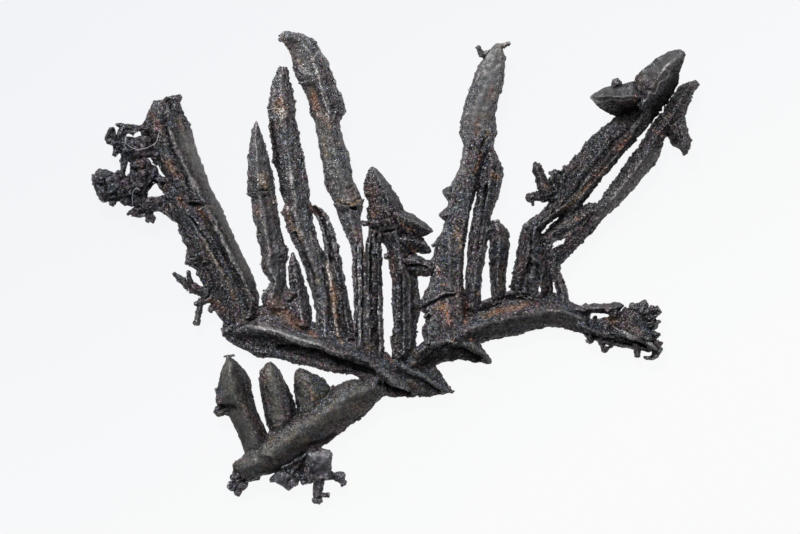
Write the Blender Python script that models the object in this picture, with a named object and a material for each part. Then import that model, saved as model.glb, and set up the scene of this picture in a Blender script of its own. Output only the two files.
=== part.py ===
"""Native silver dendrite: a flat, branching growth of tarnished silver, 40 mm across.

Three stems meet at a junction, and long keeled crystals stand side by side on them like the teeth
of a comb. Every piece is split from its neighbour at the fork where it grows out of it.

The frame: the growth lies flat on the plane z = 0, +Z up, with the origin on that plane under the
junction of the three stems. +Y runs along the combs, and +X towards the tufted end of the right
stem. The tables below are in millimetres.
"""
import math

import bmesh
import bpy
from mathutils import Matrix, Vector

MM = 0.001
FORK_GAP = 0.09        # clearance left at each fork, so that the pieces never overlap
TIP_THICKNESS = 0.35   # share of a blade's thickness that is left at its pointed end
SLIM_SPIKE = 0.45      # a spike narrower than this has four sides in place of five
NUGGET_AXIS = (.3, .5, .8)         # what a nugget's turn goes about
NUGGET_STRETCH = (1.1, .95, .9, 1)
BLOCK_TILT = 14        # degrees that a block leans back from the upright
LEVEL_ANGLE = 2        # degrees, faces that bend less than this are joined
WELDS = (.02, .005, 0) # how near two points are when they are made one
OPENING_REACH = 9      # how far the cutter of an opening reaches above and below the rest plane
PARTS = "native_silver_dendrite"

# Cross-sections of a blade, as (share of the width, share of the thickness) round the ring: from
# the left edge over the top to the right edge, then back underneath. The crest is at 0.5.
KEELED = ((0, .42), (.22, .70), (.5, 1), (.78, .70), (1, .42), (.76, .0), (.24, .0))
DOMED = ((0, .40), (.14, .74), (.5, 1), (.86, .78), (1, .40), (.78, .0), (.22, .0))
TWIN_RIBBED = ((0, .40), (.20, .95), (.38, .55), (.5, .62), (.74, 1), (1, .42), (.8, .0), (.2, .0))
FLATTENED = ((0, .42), (.11, .88), (.5, 1), (.87, .96), (1, .44), (.78, .0), (.22, .0))
RIDGED = ((0, .45), (.25, .66), (.5, 1), (.7, .72), (.86, .62), (1, .34), (.74, .0), (.22, .0))
GROOVED = ((0, .38), (.16, .68), (.34, .82), (.43, .77), (.5, .95), (.8, .76), (1, .40),
           (.76, .0), (.24, .0))
SHOULDERED = ((0, .38), (.24, .74), (.42, .80), (.5, 1), (.8, .72), (1, .38), (.76, .0), (.24, .0))
WEDGED = ((0, .55), (.5, 1), (1, .10), (.8, .0), (.2, .0))
LIPPED = ((0, .45), (.25, .66), (.5, 1), (.62, .52), (.80, .40), (.90, .52), (1, .32),
          (.74, .0), (.22, .0))

# ---------------------------------------------------------------------------------------------
# Blades: each row is (left x, left y, right x, right y), from the root of the blade to its tip.
# crest and floor are heights spread evenly from the root to the tip.

LEFT_STEM = dict(
    section=LIPPED, crest=(1.2, 1.9, 2.1, 2.2, 2.1, 2.0, 1.5), floor=(.3, 0, 0, 0, 0, 0, 0, .3),
    rows=(
        (-10.75, 2.95, -10.85, 2.45), (-10.0, 3.6, -10.2, 1.85), (-8.9, 4.2, -9.3, 1.4),
        (-7.7, 4.5, -8.5, .95), (-6.4, 4.1, -7.3, .9), (-5.2, 3.4, -5.9, .5),
        (-4.2, 2.9, -4.7, .3), (-3.0, 2.7, -3.5, -.05), (-1.9, 2.3, -2.3, -.15),
        (-.6, 1.6, -1.3, -.45), (.4, .95, -.6, -1.2), (1.1, .2, .2, -1.65),
        (1.7, -.6, 1.2, -1.7), (2.1, -1.35, 2.05, -1.65)))

LOWER_STEM = dict(
    section=DOMED, crest=(1.9, 2.1, 2.3, 2.3, 2.2, 1.9), floor=(0, 0, .1, .2, .1, .3),
    ridge=(.5, .62, .66, .6, .5, .5),
    rows=(
        (.1, -1.55, -.4, .2), (-.6, -2.1, -1.5, -.5), (-1.4, -2.95, -2.6, -.55),
        (-2.4, -3.6, -3.5, -1.2), (-3.45, -4.5, -4.5, -2.0), (-4.6, -5.1, -5.7, -2.9),
        (-5.8, -5.75, -6.8, -3.6), (-7.0, -6.5, -7.9, -4.35), (-8.2, -6.95, -8.9, -5.05),
        (-9.2, -7.1, -9.6, -5.75), (-9.95, -6.8, -10.15, -6.15)))

RIGHT_STEM = dict(
    section=RIDGED, crest=(1.7, 1.9, 2.1, 2.2, 2.2, 2.0, 1.6), floor=(0, 0, 0, 0, 0, .2, .3),
    rows=(
        (.3, 1.0, -.3, -.6), (1.4, 1.1, 1.2, -.6), (2.4, 1.9, 2.8, .1), (3.5, 2.7, 4.3, .9),
        (4.8, 3.5, 5.6, 1.6), (6.2, 4.5, 6.7, 2.05), (7.6, 5.1, 8.2, 2.3), (9.0, 5.4, 9.4, 2.65),
        (10.4, 5.3, 10.7, 3.0), (11.6, 5.0, 11.8, 2.95), (12.6, 4.6, 12.7, 2.7),
        (13.5, 4.2, 13.5, 2.45)))

NEAR_POINT = dict(
    section=KEELED, crest=(1.9, 1.8, 1.6, 1.4, 1.2), floor=(.3, .2, .2, .4, .6),
    rows=(
        (1.2, .9, .6, -.9), (2.2, .8, 1.6, -1.3), (3.4, .4, 2.5, -1.65), (3.9, -.3, 3.4, -1.55),
        (4.25, -.95, 4.1, -1.5), (4.62, -1.28, 4.55, -1.42)))

FAR_POINT = dict(
    section=KEELED, crest=(2.3, 2.2, 1.9, 1.6, 1.4), floor=(.4, .3, .4, .6, .8),
    rows=(
        (3.2, 2.3, 2.8, .6), (4.6, 2.5, 4.0, .7), (5.6, 2.4, 4.8, .87), (6.2, 2.0, 5.6, .74),
        (6.6, 1.4, 6.3, .66), (7.0, .76, 6.95, .6)))

LEFT_ARM = dict(
    section=SHOULDERED, crest=(1.6, 1.9, 2.2, 2.3, 2.3, 2.1, 1.7), floor=(.3, .3, .5, .5, .3, 0, 0),
    ridge=(.80, .82, .80, .70, .64, .58, .55),
    rows=(
        (-10.85, 2.7, -8.6, 3.9), (-10.85, 3.4, -8.35, 5.0), (-11.5, 4.1, -8.6, 6.0),
        (-12.0, 5.4, -9.0, 6.9), (-12.7, 6.9, -9.6, 8.0), (-13.38, 7.2, -9.95, 8.8),
        (-13.3, 8.2, -10.4, 9.8), (-13.9, 9.9, -10.95, 11.0), (-14.8, 10.6, -11.5, 12.1),
        (-14.7, 12.2, -12.0, 13.3), (-15.3, 13.8, -12.5, 14.6), (-16.0, 14.8, -12.7, 15.5),
        (-16.3, 16.1, -13.0, 16.5), (-15.9, 17.2, -13.45, 17.3), (-15.4, 18.1, -13.65, 18.05)))

FINGER_1 = dict(
    section=KEELED, crest=(1.7, 1.7, 1.6, 1.6, 1.5, 1.1), floor=(.3, .3, .3, .4, .5, .7),
    ridge=(.4, .3, .32, .35, .45, .5),
    rows=(
        (-8.3, 4.2, -6.2, 4.3), (-8.2, 5.0, -6.4, 5.1), (-7.62, 6.0, -6.55, 6.0),
        (-8.3, 7.0, -6.55, 7.2), (-8.2, 8.0, -6.45, 8.0), (-8.5, 8.7, -6.7, 8.7),
        (-8.5, 9.5, -6.95, 9.6), (-8.85, 10.1, -7.05, 10.3), (-8.9, 11.6, -7.25, 11.6),
        (-9.2, 12.0, -7.3, 12.2), (-9.15, 13.2, -7.5, 13.2), (-9.1, 14.2, -7.75, 14.2),
        (-9.1, 15.2, -8.0, 15.2), (-8.95, 16.0, -8.3, 16.2), (-8.65, 16.75, -8.55, 16.75)))

FINGER_2 = dict(
    section=KEELED, crest=(1.9, 1.8, 1.6, 1.2), floor=(.4, .5, .6, .7),
    rows=(
        (-6.3, 3.2, -4.7, 3.0), (-6.4, 4.2, -4.9, 4.2), (-6.4, 5.4, -5.2, 5.3),
        (-6.42, 6.3, -5.45, 6.3), (-6.4, 7.1, -5.75, 7.1), (-6.2, 7.9, -6.1, 7.9)))

FINGER_3 = dict(
    section=DOMED, crest=(1.8, 1.7, 1.8, 1.9, 1.9, 1.6), floor=(.3, .2, .3, .4, .4, .6),
    ridge=(.5, .48, .44, .5, .55, .5),
    rows=(
        (-4.6, 2.4, -3.3, 2.3), (-4.6, 4.0, -3.5, 4.0), (-4.95, 5.6, -3.75, 5.8),
        (-5.5, 7.3, -4.05, 7.4), (-6.05, 8.5, -4.4, 8.7), (-6.35, 9.1, -4.65, 9.5),
        (-6.5, 9.8, -4.85, 10.2), (-6.9, 10.6, -4.95, 11.0), (-6.65, 11.15, -5.0, 11.6),
        (-7.0, 12.0, -5.1, 12.4), (-7.15, 13.2, -5.3, 13.6), (-7.5, 14.0, -5.45, 14.5),
        (-7.55, 15.2, -5.65, 15.5), (-7.8, 16.6, -5.95, 16.7), (-7.8, 17.6, -5.95, 17.7),
        (-7.65, 18.7, -6.15, 18.7), (-7.4, 19.7, -6.4, 19.7), (-7.05, 20.4, -6.5, 20.35)))

FINGER_4 = dict(
    section=TWIN_RIBBED, crest=(1.7, 1.5, 1.5, 1.5, 1.3), floor=(.4, .4, .5, .5, .7),
    rows=(
        (-3.45, 2.4, -1.9, 2.2), (-3.6, 4.0, -2.3, 3.9), (-3.85, 5.6, -2.55, 5.5),
        (-4.05, 7.0, -2.85, 7.0), (-4.0, 8.2, -3.05, 8.1), (-4.2, 9.2, -3.35, 9.2),
        (-4.45, 10.0, -3.7, 10.2), (-4.75, 10.5, -4.1, 10.85), (-5.05, 11.0, -4.6, 11.2)))

FINGER_5 = dict(
    section=DOMED, crest=(1.6, 1.6, 1.7, 2.0, 2.2, 2.4, 2.3), floor=(.4, .4, .5, .5, .5, .6, .9),
    ridge=(.5, .5, .55, .5, .55, .6, .5),
    rows=(
        (-2.1, 1.8, -1.3, 1.6), (-2.05, 3.5, -1.4, 3.4), (-2.1, 5.5, -1.42, 5.4),
        (-2.15, 7.2, -1.4, 7.1), (-2.3, 8.5, -1.45, 8.5), (-2.65, 9.3, -1.55, 9.4),
        (-3.1, 10.2, -1.6, 10.3), (-3.2, 10.95, -1.5, 11.2), (-3.65, 11.7, -1.65, 11.9),
        (-4.0, 12.5, -2.0, 12.6), (-4.05, 13.2, -2.2, 13.3), (-4.3, 14.4, -2.4, 14.5),
        (-4.5, 15.7, -2.85, 15.6), (-4.75, 16.6, -3.0, 16.6), (-5.0, 17.3, -2.6, 17.4),
        (-5.15, 18.2, -2.8, 18.1), (-5.5, 19.1, -3.15, 19.0), (-6.0, 19.7, -3.45, 19.8),
        (-6.2, 20.8, -3.8, 20.8), (-6.45, 21.5, -4.3, 21.5), (-6.75, 21.9, -4.7, 22.15),
        (-7.1, 22.15, -5.5, 22.55), (-7.05, 22.5, -6.5, 22.72)))

RIB_PAIR = dict(
    section=TWIN_RIBBED, crest=(1.6, 1.5, 1.5, 1.5, 1.3), floor=(.4, .4, .5, .5, .6),
    rows=(
        (-1.25, 1.2, .05, 1.0), (-1.28, 2.2, .02, 2.2), (-1.28, 4.0, -.1, 4.0),
        (-1.28, 6.0, -.15, 6.0), (-1.28, 7.5, -.25, 7.5), (-1.22, 8.6, -.3, 8.6),
        (-1.12, 9.4, -.2, 9.3), (-1.0, 10.0, -.3, 9.9)))

CENTRE_CRYSTAL = dict(
    section=KEELED, crest=(1.7, 1.8, 1.8, 2.0, 2.5, 2.4, 1.7), floor=(.3, .3, .3, .4, .8, .9, 1.0),
    ridge=(.5, .45, .45, .5, .62, .72, .6),
    rows=(
        (.5, .9, 1.9, 1.3), (.45, 1.9, 2.05, 2.1), (.5, 3.2, 2.15, 3.2), (.47, 4.6, 2.22, 4.6),
        (.45, 6.2, 2.2, 6.2), (.25, 7.2, 1.9, 7.4), (.1, 8.3, 1.7, 8.6), (-.25, 8.95, 1.6, 9.4),
        (-1.2, 9.9, 1.5, 10.3), (-1.2, 10.7, 1.2, 11.0), (-1.1, 11.3, .95, 11.5),
        (-1.4, 11.9, .6, 12.05), (-1.38, 12.6, .1, 12.85), (-1.15, 13.3, -.4, 13.35),
        (-.95, 13.65, -.8, 13.65)))

CENTRE_LOBES = (
    dict(section=KEELED, crest=(2.2, 2.3, 2.2, 1.8), floor=(.8, .8, .9, 1.1), ridge=(.3, .3, .35, .5),
         rows=(
             (.5, 11.2, .4, 9.3), (1.3, 10.8, 1.2, 9.1), (2.0, 10.42, 2.0, 8.98),
             (2.7, 9.93, 2.6, 8.98), (3.05, 9.6, 2.95, 9.2), (3.22, 9.42, 3.18, 9.32))),
    dict(section=KEELED, crest=(1.9, 2.0, 1.9, 1.6), floor=(.5, .6, .7, .9), ridge=(.35, .35, .4, .5),
         rows=(
             (.6, 9.5, .6, 7.8), (1.5, 9.35, 1.5, 7.9), (2.2, 9.1, 2.25, 7.93),
             (2.65, 8.78, 2.7, 7.95), (2.92, 8.42, 2.9, 7.97), (3.02, 8.2, 2.98, 8.03))),
    dict(section=KEELED, crest=(1.7, 1.8, 1.8, 1.7), floor=(.4, .5, .6, .7), ridge=(.35, .3, .35, .5),
         rows=(
             (1.0, 8.1, 1.0, 6.3), (1.9, 7.9, 1.9, 6.35), (2.5, 7.55, 2.5, 6.4),
             (2.95, 7.4, 3.0, 6.42), (3.7, 7.4, 3.7, 6.6))))

FINGER_6 = dict(
    section=FLATTENED, crest=(1.8, 2.0, 2.0, 1.9, 1.9, 2.0, 1.8), floor=(.2, .2, .3, .4, .4, .5, .8),
    ridge=(.62, .6, .5, .45, .4, .45, .5),
    rows=(
        (2.5, 1.8, 5.3, 2.9), (2.5, 2.9, 5.4, 3.5), (2.8, 3.65, 5.3, 4.2), (2.25, 4.4, 5.25, 5.0),
        (2.65, 5.25, 5.2, 5.7), (3.2, 6.4, 5.2, 6.8), (3.15, 7.5, 5.25, 7.8),
        (3.4, 8.6, 5.35, 8.8), (3.78, 9.4, 5.5, 9.7), (4.0, 10.2, 5.7, 10.7),
        (4.22, 11.2, 5.9, 11.5), (4.38, 12.4, 6.1, 12.5), (4.85, 13.3, 6.3, 13.5),
        (5.15, 14.3, 6.6, 14.4), (5.25, 15.1, 7.3, 15.1),
        (4.95, 15.9, 7.45, 15.9), (5.1, 17.0, 7.35, 17.0), (5.45, 18.3, 7.6, 18.2),
        (5.85, 19.3, 7.9, 19.2), (6.15, 20.3, 8.0, 20.3), (6.6, 21.0, 8.0, 21.0),
        (7.0, 21.5, 7.85, 21.5), (7.3, 21.85, 7.7, 21.9)))

FINGER_6_LOBES = (
    dict(section=KEELED, crest=(1.8, 1.7, 1.5), floor=(.5, .6, .8),
         rows=((4.9, 12.65, 4.9, 11.1), (4.3, 12.42, 4.35, 11.2), (4.0, 12.25, 4.05, 11.6),
               (3.8, 12.12, 3.84, 11.98))),
    dict(section=KEELED, crest=(1.7, 1.6, 1.4), floor=(.5, .6, .8),
         rows=((4.7, 11.25, 4.7, 9.95), (4.15, 10.98, 4.15, 10.02), (3.85, 10.7, 3.85, 10.15),
               (3.62, 10.5, 3.64, 10.38))))

FINGER_7 = dict(
    section=DOMED, crest=(1.7, 1.6, 1.6, 1.7, 1.6, 1.3), floor=(.4, .4, .4, .4, .5, .7),
    rows=(
        (5.35, 4.2, 6.35, 4.2), (5.37, 5.4, 6.38, 5.3), (5.4, 6.6, 6.46, 6.5), (5.5, 8.0, 6.68, 7.8),
        (5.65, 9.3, 6.9, 9.3), (5.9, 10.6, 7.1, 10.5), (6.13, 11.6, 7.5, 11.4),
        (6.15, 12.6, 7.75, 12.6), (6.2, 13.3, 8.0, 13.1), (6.45, 14.0, 7.75, 13.95),
        (6.6, 14.6, 7.4, 14.55), (6.85, 15.2, 7.25, 15.1)))

FINGER_8 = dict(
    section=KEELED, crest=(1.8, 1.7, 1.7, 1.5, 1.1), floor=(.4, .4, .5, .5, .7),
    rows=(
        (7.0, 4.5, 8.1, 4.8), (7.05, 5.3, 8.05, 5.6), (6.98, 6.6, 8.05, 6.6),
        (6.97, 7.6, 8.2, 7.6), (6.97, 8.6, 8.35, 8.5), (6.93, 9.4, 8.2, 9.3),
        (7.1, 9.9, 7.9, 9.85), (7.4, 10.15, 7.55, 10.15)))

RIGHT_UPPER_ARM = dict(
    section=GROOVED, crest=(1.8, 2.0, 2.0, 2.2, 2.4, 2.6, 2.6), floor=(.2, .3, .4, .5, .6, .8, 1.0),
    ridge=(.5, .5, .6, .68, .70, .66, .6),
    rows=(
        (8.25, 5.1, 11.15, 4.85), (8.35, 5.8, 11.15, 5.5), (8.5, 6.6, 10.92, 6.3),
        (8.75, 7.6, 10.93, 7.3), (8.95, 8.5, 10.75, 8.2), (9.05, 9.3, 10.45, 8.95),
        (9.25, 9.8, 10.42, 9.35), (9.9, 10.3, 10.9, 9.9), (10.6, 10.85, 11.6, 10.42),
        (11.0, 11.4, 12.4, 10.8), (11.2, 12.4, 13.2, 11.15), (11.7, 13.4, 13.75, 11.85),
        (12.3, 14.0, 14.3, 12.7), (12.95, 14.7, 15.0, 13.5), (13.5, 15.4, 15.6, 14.2),
        (14.2, 16.1, 16.15, 14.75), (15.0, 16.7, 16.75, 15.5), (15.9, 17.4, 17.45, 16.25),
        (16.6, 18.2, 18.1, 17.1), (17.2, 19.0, 18.85, 18.05), (18.0, 19.6, 19.1, 18.9)))

RIGHT_LOWER_ARM = dict(
    section=DOMED, crest=(1.6, 1.5, 1.6, 1.6, 1.7, 1.8, 1.5), floor=(.3, .4, .4, .2, 0, 0, .4),
    rows=(
        (11.3, 4.6, 12.45, 4.4), (11.5, 5.3, 12.2, 5.3), (11.25, 6.0, 11.95, 6.0),
        (10.8, 6.6, 11.68, 6.6), (10.7, 7.2, 11.7, 7.1), (10.65, 7.9, 12.1, 7.5),
        (10.55, 8.5, 12.6, 8.1), (10.42, 9.0, 13.1, 8.55), (10.72, 9.42, 13.7, 9.2),
        (11.5, 10.1, 14.1, 9.6), (12.25, 10.8, 14.7, 10.3), (13.3, 11.1, 15.3, 10.9),
        (14.15, 11.25, 15.9, 11.5), (14.75, 12.05, 16.5, 12.1), (15.5, 13.05, 17.1, 12.9),
        (16.15, 14.05, 18.05, 13.9), (16.8, 14.85, 18.4, 14.8), (17.35, 15.65, 18.7, 15.6),
        (17.75, 16.5, 19.6, 16.4), (18.45, 17.25, 20.05, 17.2), (19.15, 18.3, 20.25, 18.0),
        (19.6, 18.95, 20.5, 18.6),
        (20.15, 19.25, 20.8, 18.92), (20.7, 19.47, 21.0, 19.15)))

SIDE_CRYSTAL = dict(
    section=GROOVED, crest=(1.9, 2.2, 2.2, 1.8, 1.4), floor=(.3, .4, .6, .8, 1.0),
    rows=(
        (20.0, 17.2, 18.6, 16.0), (20.2, 16.2, 18.9, 15.5), (20.4, 15.4, 19.1, 15.1),
        (20.35, 14.9, 19.6, 14.95), (20.1, 14.5, 19.85, 14.45)))

HEAD_CRYSTAL = dict(
    section=WEDGED, crest=(3.3, 3.9, 4.2, 4.3, 4.1, 3.3), floor=(1.6, 1.5, 1.6, 1.8, 2.1, 2.6),
    ridge=(.5, .5, .46, .48, .55, .5),
    rows=(
        (16.4, 18.2, 17.6, 16.9), (16.5, 19.2, 18.5, 17.7), (16.65, 19.7, 19.15, 18.45),
        (17.3, 20.25, 19.5, 19.25), (18.05, 20.87, 19.62, 19.95), (18.85, 21.25, 19.86, 20.6),
        (19.3, 21.43, 19.93, 21.0), (19.62, 21.45, 19.9, 21.25)))

HEAD_WEDGE = dict(
    section=WEDGED, crest=(3.4, 3.7, 3.7, 3.4, 2.7), floor=(1.6, 1.5, 1.5, 1.6, 2.1),
    ridge=(.45, .43, .43, .48, .5),
    rows=(
        (17.2, 19.3, 17.0, 17.0), (16.5, 19.4, 16.2, 17.05), (15.8, 19.2, 15.5, 17.0),
        (15.1, 19.03, 14.7, 17.32), (14.5, 18.85, 14.2, 17.68), (14.0, 18.58, 13.85, 18.05),
        (13.65, 18.37, 13.62, 18.27)))

TUFT_FAN = dict(
    section=LIPPED, crest=(1.7, 1.9, 2.0, 1.9, 1.5), floor=(.3, .2, .1, .2, .5),
    ridge=(.5, .62, .66, .72, .7),
    rows=(
        (12.9, 3.8, 13.0, 2.6), (13.6, 3.62, 13.6, 2.15), (14.2, 3.55, 14.3, 2.0),
        (14.8, 3.62, 14.8, 1.85), (15.4, 3.98, 15.4, 1.72), (16.0, 4.1, 16.1, 1.6),
        (16.5, 4.5, 16.7, 1.45), (17.1, 4.5, 17.2, 1.45), (17.6, 4.2, 17.6, 1.3),
        (17.8, 3.8, 17.95, 1.4)))

TUFT_TWIG = dict(
    section=KEELED, crest=(1.6, 1.7, 1.8, 1.5), floor=(.5, .7, .8, .9),
    rows=(
        (12.4, 4.65, 12.6, 3.6), (13.0, 4.5, 13.1, 3.8), (13.9, 4.5, 13.9, 3.97),
        (14.6, 4.6, 14.6, 3.95), (15.2, 4.65, 15.2, 3.8), (15.65, 4.65, 15.7, 4.1),
        (15.9, 4.5, 15.85, 4.35)))

OUTER_SPEAR = dict(
    section=KEELED, crest=(2.0, 2.0, 2.1, 2.3, 2.1, 1.3), floor=(.3, .3, .4, .4, .5, .7),
    ridge=(.5, .55, .6, .45, .4, .45),
    rows=(
        (-9.4, -5.6, -7.7, -4.5), (-9.65, -4.6, -8.0, -3.6), (-10.1, -3.5, -8.45, -2.8),
        (-10.4, -2.95, -8.65, -2.2), (-11.1, -2.7, -8.8, -1.6), (-11.3, -1.8, -8.9, -1.0),
        (-11.15, -.8, -9.0, -.4), (-10.9, .1, -9.4, .15), (-10.65, .6, -9.85, .6),
        (-10.5, .98, -10.3, .98)))

MIDDLE_SPEAR = dict(
    section=DOMED, crest=(1.9, 1.9, 1.9, 1.7, 1.3), floor=(.4, .4, .4, .5, .7),
    rows=(
        (-7.7, -4.2, -6.1, -3.4), (-7.95, -3.2, -6.05, -2.6), (-8.15, -2.3, -6.15, -1.9),
        (-8.35, -1.4, -6.4, -1.2), (-8.45, -.5, -6.7, -.5), (-8.25, .15, -7.0, .1),
        (-7.95, .5, -7.3, .45), (-7.75, .68, -7.6, .68)))

INNER_SPEAR = dict(
    section=DOMED, crest=(1.8, 1.8, 1.7, 1.3), floor=(.4, .4, .5, .7),
    rows=(
        (-5.9, -3.2, -4.2, -2.2), (-5.95, -2.2, -3.8, -1.8), (-6.05, -1.2, -3.62, -1.1),
        (-6.1, -.5, -4.0, -.6), (-5.95, 0, -4.7, -.15), (-5.65, .22, -5.3, .15)))

# ---------------------------------------------------------------------------------------------
# Small crystals fused to what they grow from.
# A spike is (root x, y, z, tip x, y, z, width at the root, width at the tip), and a nugget is
# (x, y, z, width, turn in degrees).

LEFT_ARM_SPIKES = (
    (-14.1, 17.5, 1.1, -13.85, 18.3, 1.1, .90, .60), (-13.6, 18.28, 1.1, -14.62, 18.22, 1.2, .50, .28),
    (-11.9, 5.2, 1.0, -13.3, 5.9, 1.3, .85, .50), (-13.2, 5.85, 1.3, -14.1, 6.6, 1.6, .46, .34),
    (-12.9, 5.85, 1.3, -13.15, 6.75, 1.7, .40, .26), (-12.2, 5.4, 1.0, -13.1, 5.3, .8, .44, .24),
    (-11.6, 4.9, .9, -12.75, 4.5, 1.0, .60, .34), (-12.25, 4.9, .9, -12.6, 3.2, .8, .50, .42),
    (-11.2, 4.6, .8, -11.75, 4.0, .7, .6, .3))
LEFT_ARM_NUGGETS = ((-13.75, 18.22, 1.1, .54, 0), (-12.8, 5.7, 1.2, .62, 30))

LEFT_CLUSTER_SPIKES = (
    (-15.9, 16.2, 1.3, -17.5, 16.25, 1.6, .60, .56), (-17.2, 16.3, 1.6, -18.03, 16.42, 1.8, .46, .16),
    (-17.35, 16.25, 1.6, -17.8, 15.6, 1.7, .55, .44), (-15.6, 15.3, 1.4, -17.2, 15.35, 1.6, .80, .70),
    (-16.9, 15.25, 1.6, -18.5, 15.5, 1.5, .75, .46), (-18.3, 15.4, 1.5, -18.3, 16.22, 1.9, .44, .36),
    (-17.5, 15.3, 1.6, -18.02, 14.35, 1.3, .66, .36), (-17.35, 15.0, 1.5, -17.45, 13.1, 1.5, .50, .36),
    (-16.3, 14.5, 1.6, -15.2, 14.55, 1.4, .60, .50), (-16.1, 13.7, 1.6, -14.8, 12.95, 1.1, .90, .50),
    (-17.8, 11.9, 1.5, -18.2, 11.12, 1.2, .50, .30), (-17.3, 11.5, 1.4, -14.5, 11.25, 1.0, .84, .90),
    (-15.9, 11.1, 1.2, -17.2, 10.5, 1.0, .84, .16), (-15.75, 11.3, 1.1, -15.6, 10.1, .8, .66, .50),
    (-14.8, 11.6, 1.0, -15.05, 12.7, 1.3, .56, .44), (-16.0, 12.7, 1.5, -16.05, 11.4, 1.2, .66, .50))
LEFT_CLUSTER_NUGGETS = (
    (-17.1, 14.9, 1.6, 1.2, 60), (-16.45, 14.7, 1.7, 1.05, 25), (-16.4, 13.9, 1.6, 1.35, 50),
    (-16.2, 13.1, 1.6, 1.35, 15), (-16.35, 12.45, 1.6, 1.35, 35), (-18.85, 12.85, 1.4, 1.45, 0),
    (-18.6, 12.1, 1.3, 1.45, 45), (-18.0, 12.6, 1.6, 1.5, 30), (-17.4, 12.3, 1.6, 1.5, 75))

CENTRE_SPIKES = (
    (-.4, 9.95, 1.6, -1.5, 9.9, 1.4, .60, .3), (.4, 7.75, 1.1, 0, 7.7, .9, .46, .3))

FINGER_6_SPIKES = (
    (7.4, 21.65, 1.3, 8.35, 21.92, 1.4, .50, .16), (7.0, 21.2, 1.3, 6.3, 21.15, 1.2, .50, .40),
    (6.45, 21.1, 1.3, 6.15, 21.7, 1.5, .42, .34), (3.9, 8.8, 1.2, 3.15, 8.42, 1.1, .46, .2),
    (3.3, 4.3, 1.2, 2.6, 3.62, 1.2, .40, .24))

RIGHT_UPPER_SPIKES = (
    (11.6, 11.6, 1.3, 9.8, 11.7, 1.1, .80, .56), (9.9, 11.6, 1.1, 9.9, 11.1, 1.0, .34, .16),
    (10.8, 11.9, 1.4, 10.1, 13.7, 1.8, 1.05, .62), (10.15, 13.5, 1.8, 9.95, 14.1, 1.9, .60, .20),
    (12.0, 12.3, 1.4, 11.25, 13.45, 1.7, .70, .26), (12.3, 12.7, 1.5, 11.9, 13.75, 1.8, .60, .24),
    (11.5, 12.1, 1.32, 11.02, 12.98, 1.55, .62, .26))
RIGHT_UPPER_NUGGETS = ((9.7, 11.65, 1.1, .66, 20),)

HEAD_NUGGETS = ((15.4, 19.22, 2.8, .74, 15),)

TUFT_SPIKES = (
    (17.1, 4.0, 1.0, 17.4, 4.78, 1.2, .70, .16), (17.2, 4.0, 1.0, 18.25, 4.1, 1.1, .70, .52),
    (17.3, 3.1, 1.0, 18.22, 3.3, 1.1, .80, .22), (17.5, 2.6, 1.0, 18.2, 2.5, 1.2, .46, .36),
    (17.7, 1.6, 1.0, 18.2, 2.1, 1.1, .70, .20), (17.9, 1.7, .9, 18.2, 1.1, .8, .60, .30),
    (18.22, 1.3, .85, 17.75, .95, .78, .40, .30), (17.95, 1.0, .8, 17.25, 1.03, .74, .28, .14),
    (13.75, 2.6, .9, 13.65, 1.95, .8, .60, .34), (14.3, 2.3, .9, 14.7, 1.45, .7, .56, .22),
    (15.1, 2.1, .9, 15.12, 1.6, .8, .40, .14), (16.78, 1.9, .93, 16.86, 1.0, .82, .52, .28))
TUFT_NUGGETS = ((18.2, 2.5, 1.1, .40, 0), (15.3, 3.95, 1.2, .80, 30))

OUTER_SPEAR_SPIKES = (
    (-10.4, .4, 1.0, -10.4, 1.12, 1.0, .50, .30), (-10.05, 1.1, 1.05, -10.76, 1.02, 1.05, .2, .16))
OUTER_SPEAR_NUGGETS = ((-11.0, -2.6, 1.1, .86, 20),)
INNER_SPEAR_SPIKES = ((-3.9, -1.6, .9, -3.42, -.85, 1.0, .5, .14),)

LEFT_LUMP_SPIKES = (
    (-9.7, -6.8, .9, -9.9, -8.25, .6, 1.0, .40), (-9.5, -7.1, .9, -8.3, -7.12, .8, .60, .22))
LEFT_LUMP_NUGGETS = (
    (-9.85, -7.05, .9, .90, 0), (-10.1, -7.55, .8, .74, 30), (-9.5, -7.55, .8, .80, 50),
    (-9.9, -7.95, .6, .60, 10))

RIGHT_LUMP_SPIKES = (
    (-5.2, -5.3, 1.0, -6.2, -6.8, .9, 1.1, .90), (-6.5, -6.6, .9, -5.0, -7.1, .8, .80, .70),
    (-4.8, -6.9, .9, -3.0, -6.9, .9, .80, .60), (-4.4, -7.0, .8, -4.55, -8.85, .7, .90, .50),
    (-4.3, -8.2, .7, -3.65, -8.2, .7, .40, .36), (-6.8, -6.8, .8, -7.75, -7.2, .7, .90, .24),
    (-6.9, -6.4, 1.0, -5.2, -5.5, 1.0, .90, .90))
RIGHT_LUMP_NUGGETS = (
    (-6.8, -6.95, .9, 1.25, 0), (-6.3, -7.25, .7, 1.2, 40), (-5.8, -6.7, .8, 1.0, 15),
    (-5.2, -7.15, .7, 1.0, 25), (-3.1, -7.0, .9, .95, 20), (-2.8, -7.4, .8, .62, 45),
    (-4.5, -8.55, .7, .70, 0))
BLOCK_CRYSTAL = dict(centre=(-4.4, -6.15, 1.35), size=(1.65, 1.95, 1.3), turn=-6, bevel=.22)

# Gaps that go right through a piece: (x, y) round each opening.
FORK_OPENING = ((11.02, 8.22), (11.1, 8.5), (11.45, 8.85), (11.98, 8.92), (11.7, 8.62), (11.35, 8.45))
TRUNK_OPENING = ((10.18, 5.32), (10.2, 5.6), (10.24, 5.9), (10.33, 5.82), (10.32, 5.5), (10.28, 5.3))


# ---------------------------------------------------------------------------------------------
# Modelling

def clear_scene():
    for thing in list(bpy.data.objects):
        bpy.data.objects.remove(thing)


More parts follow.
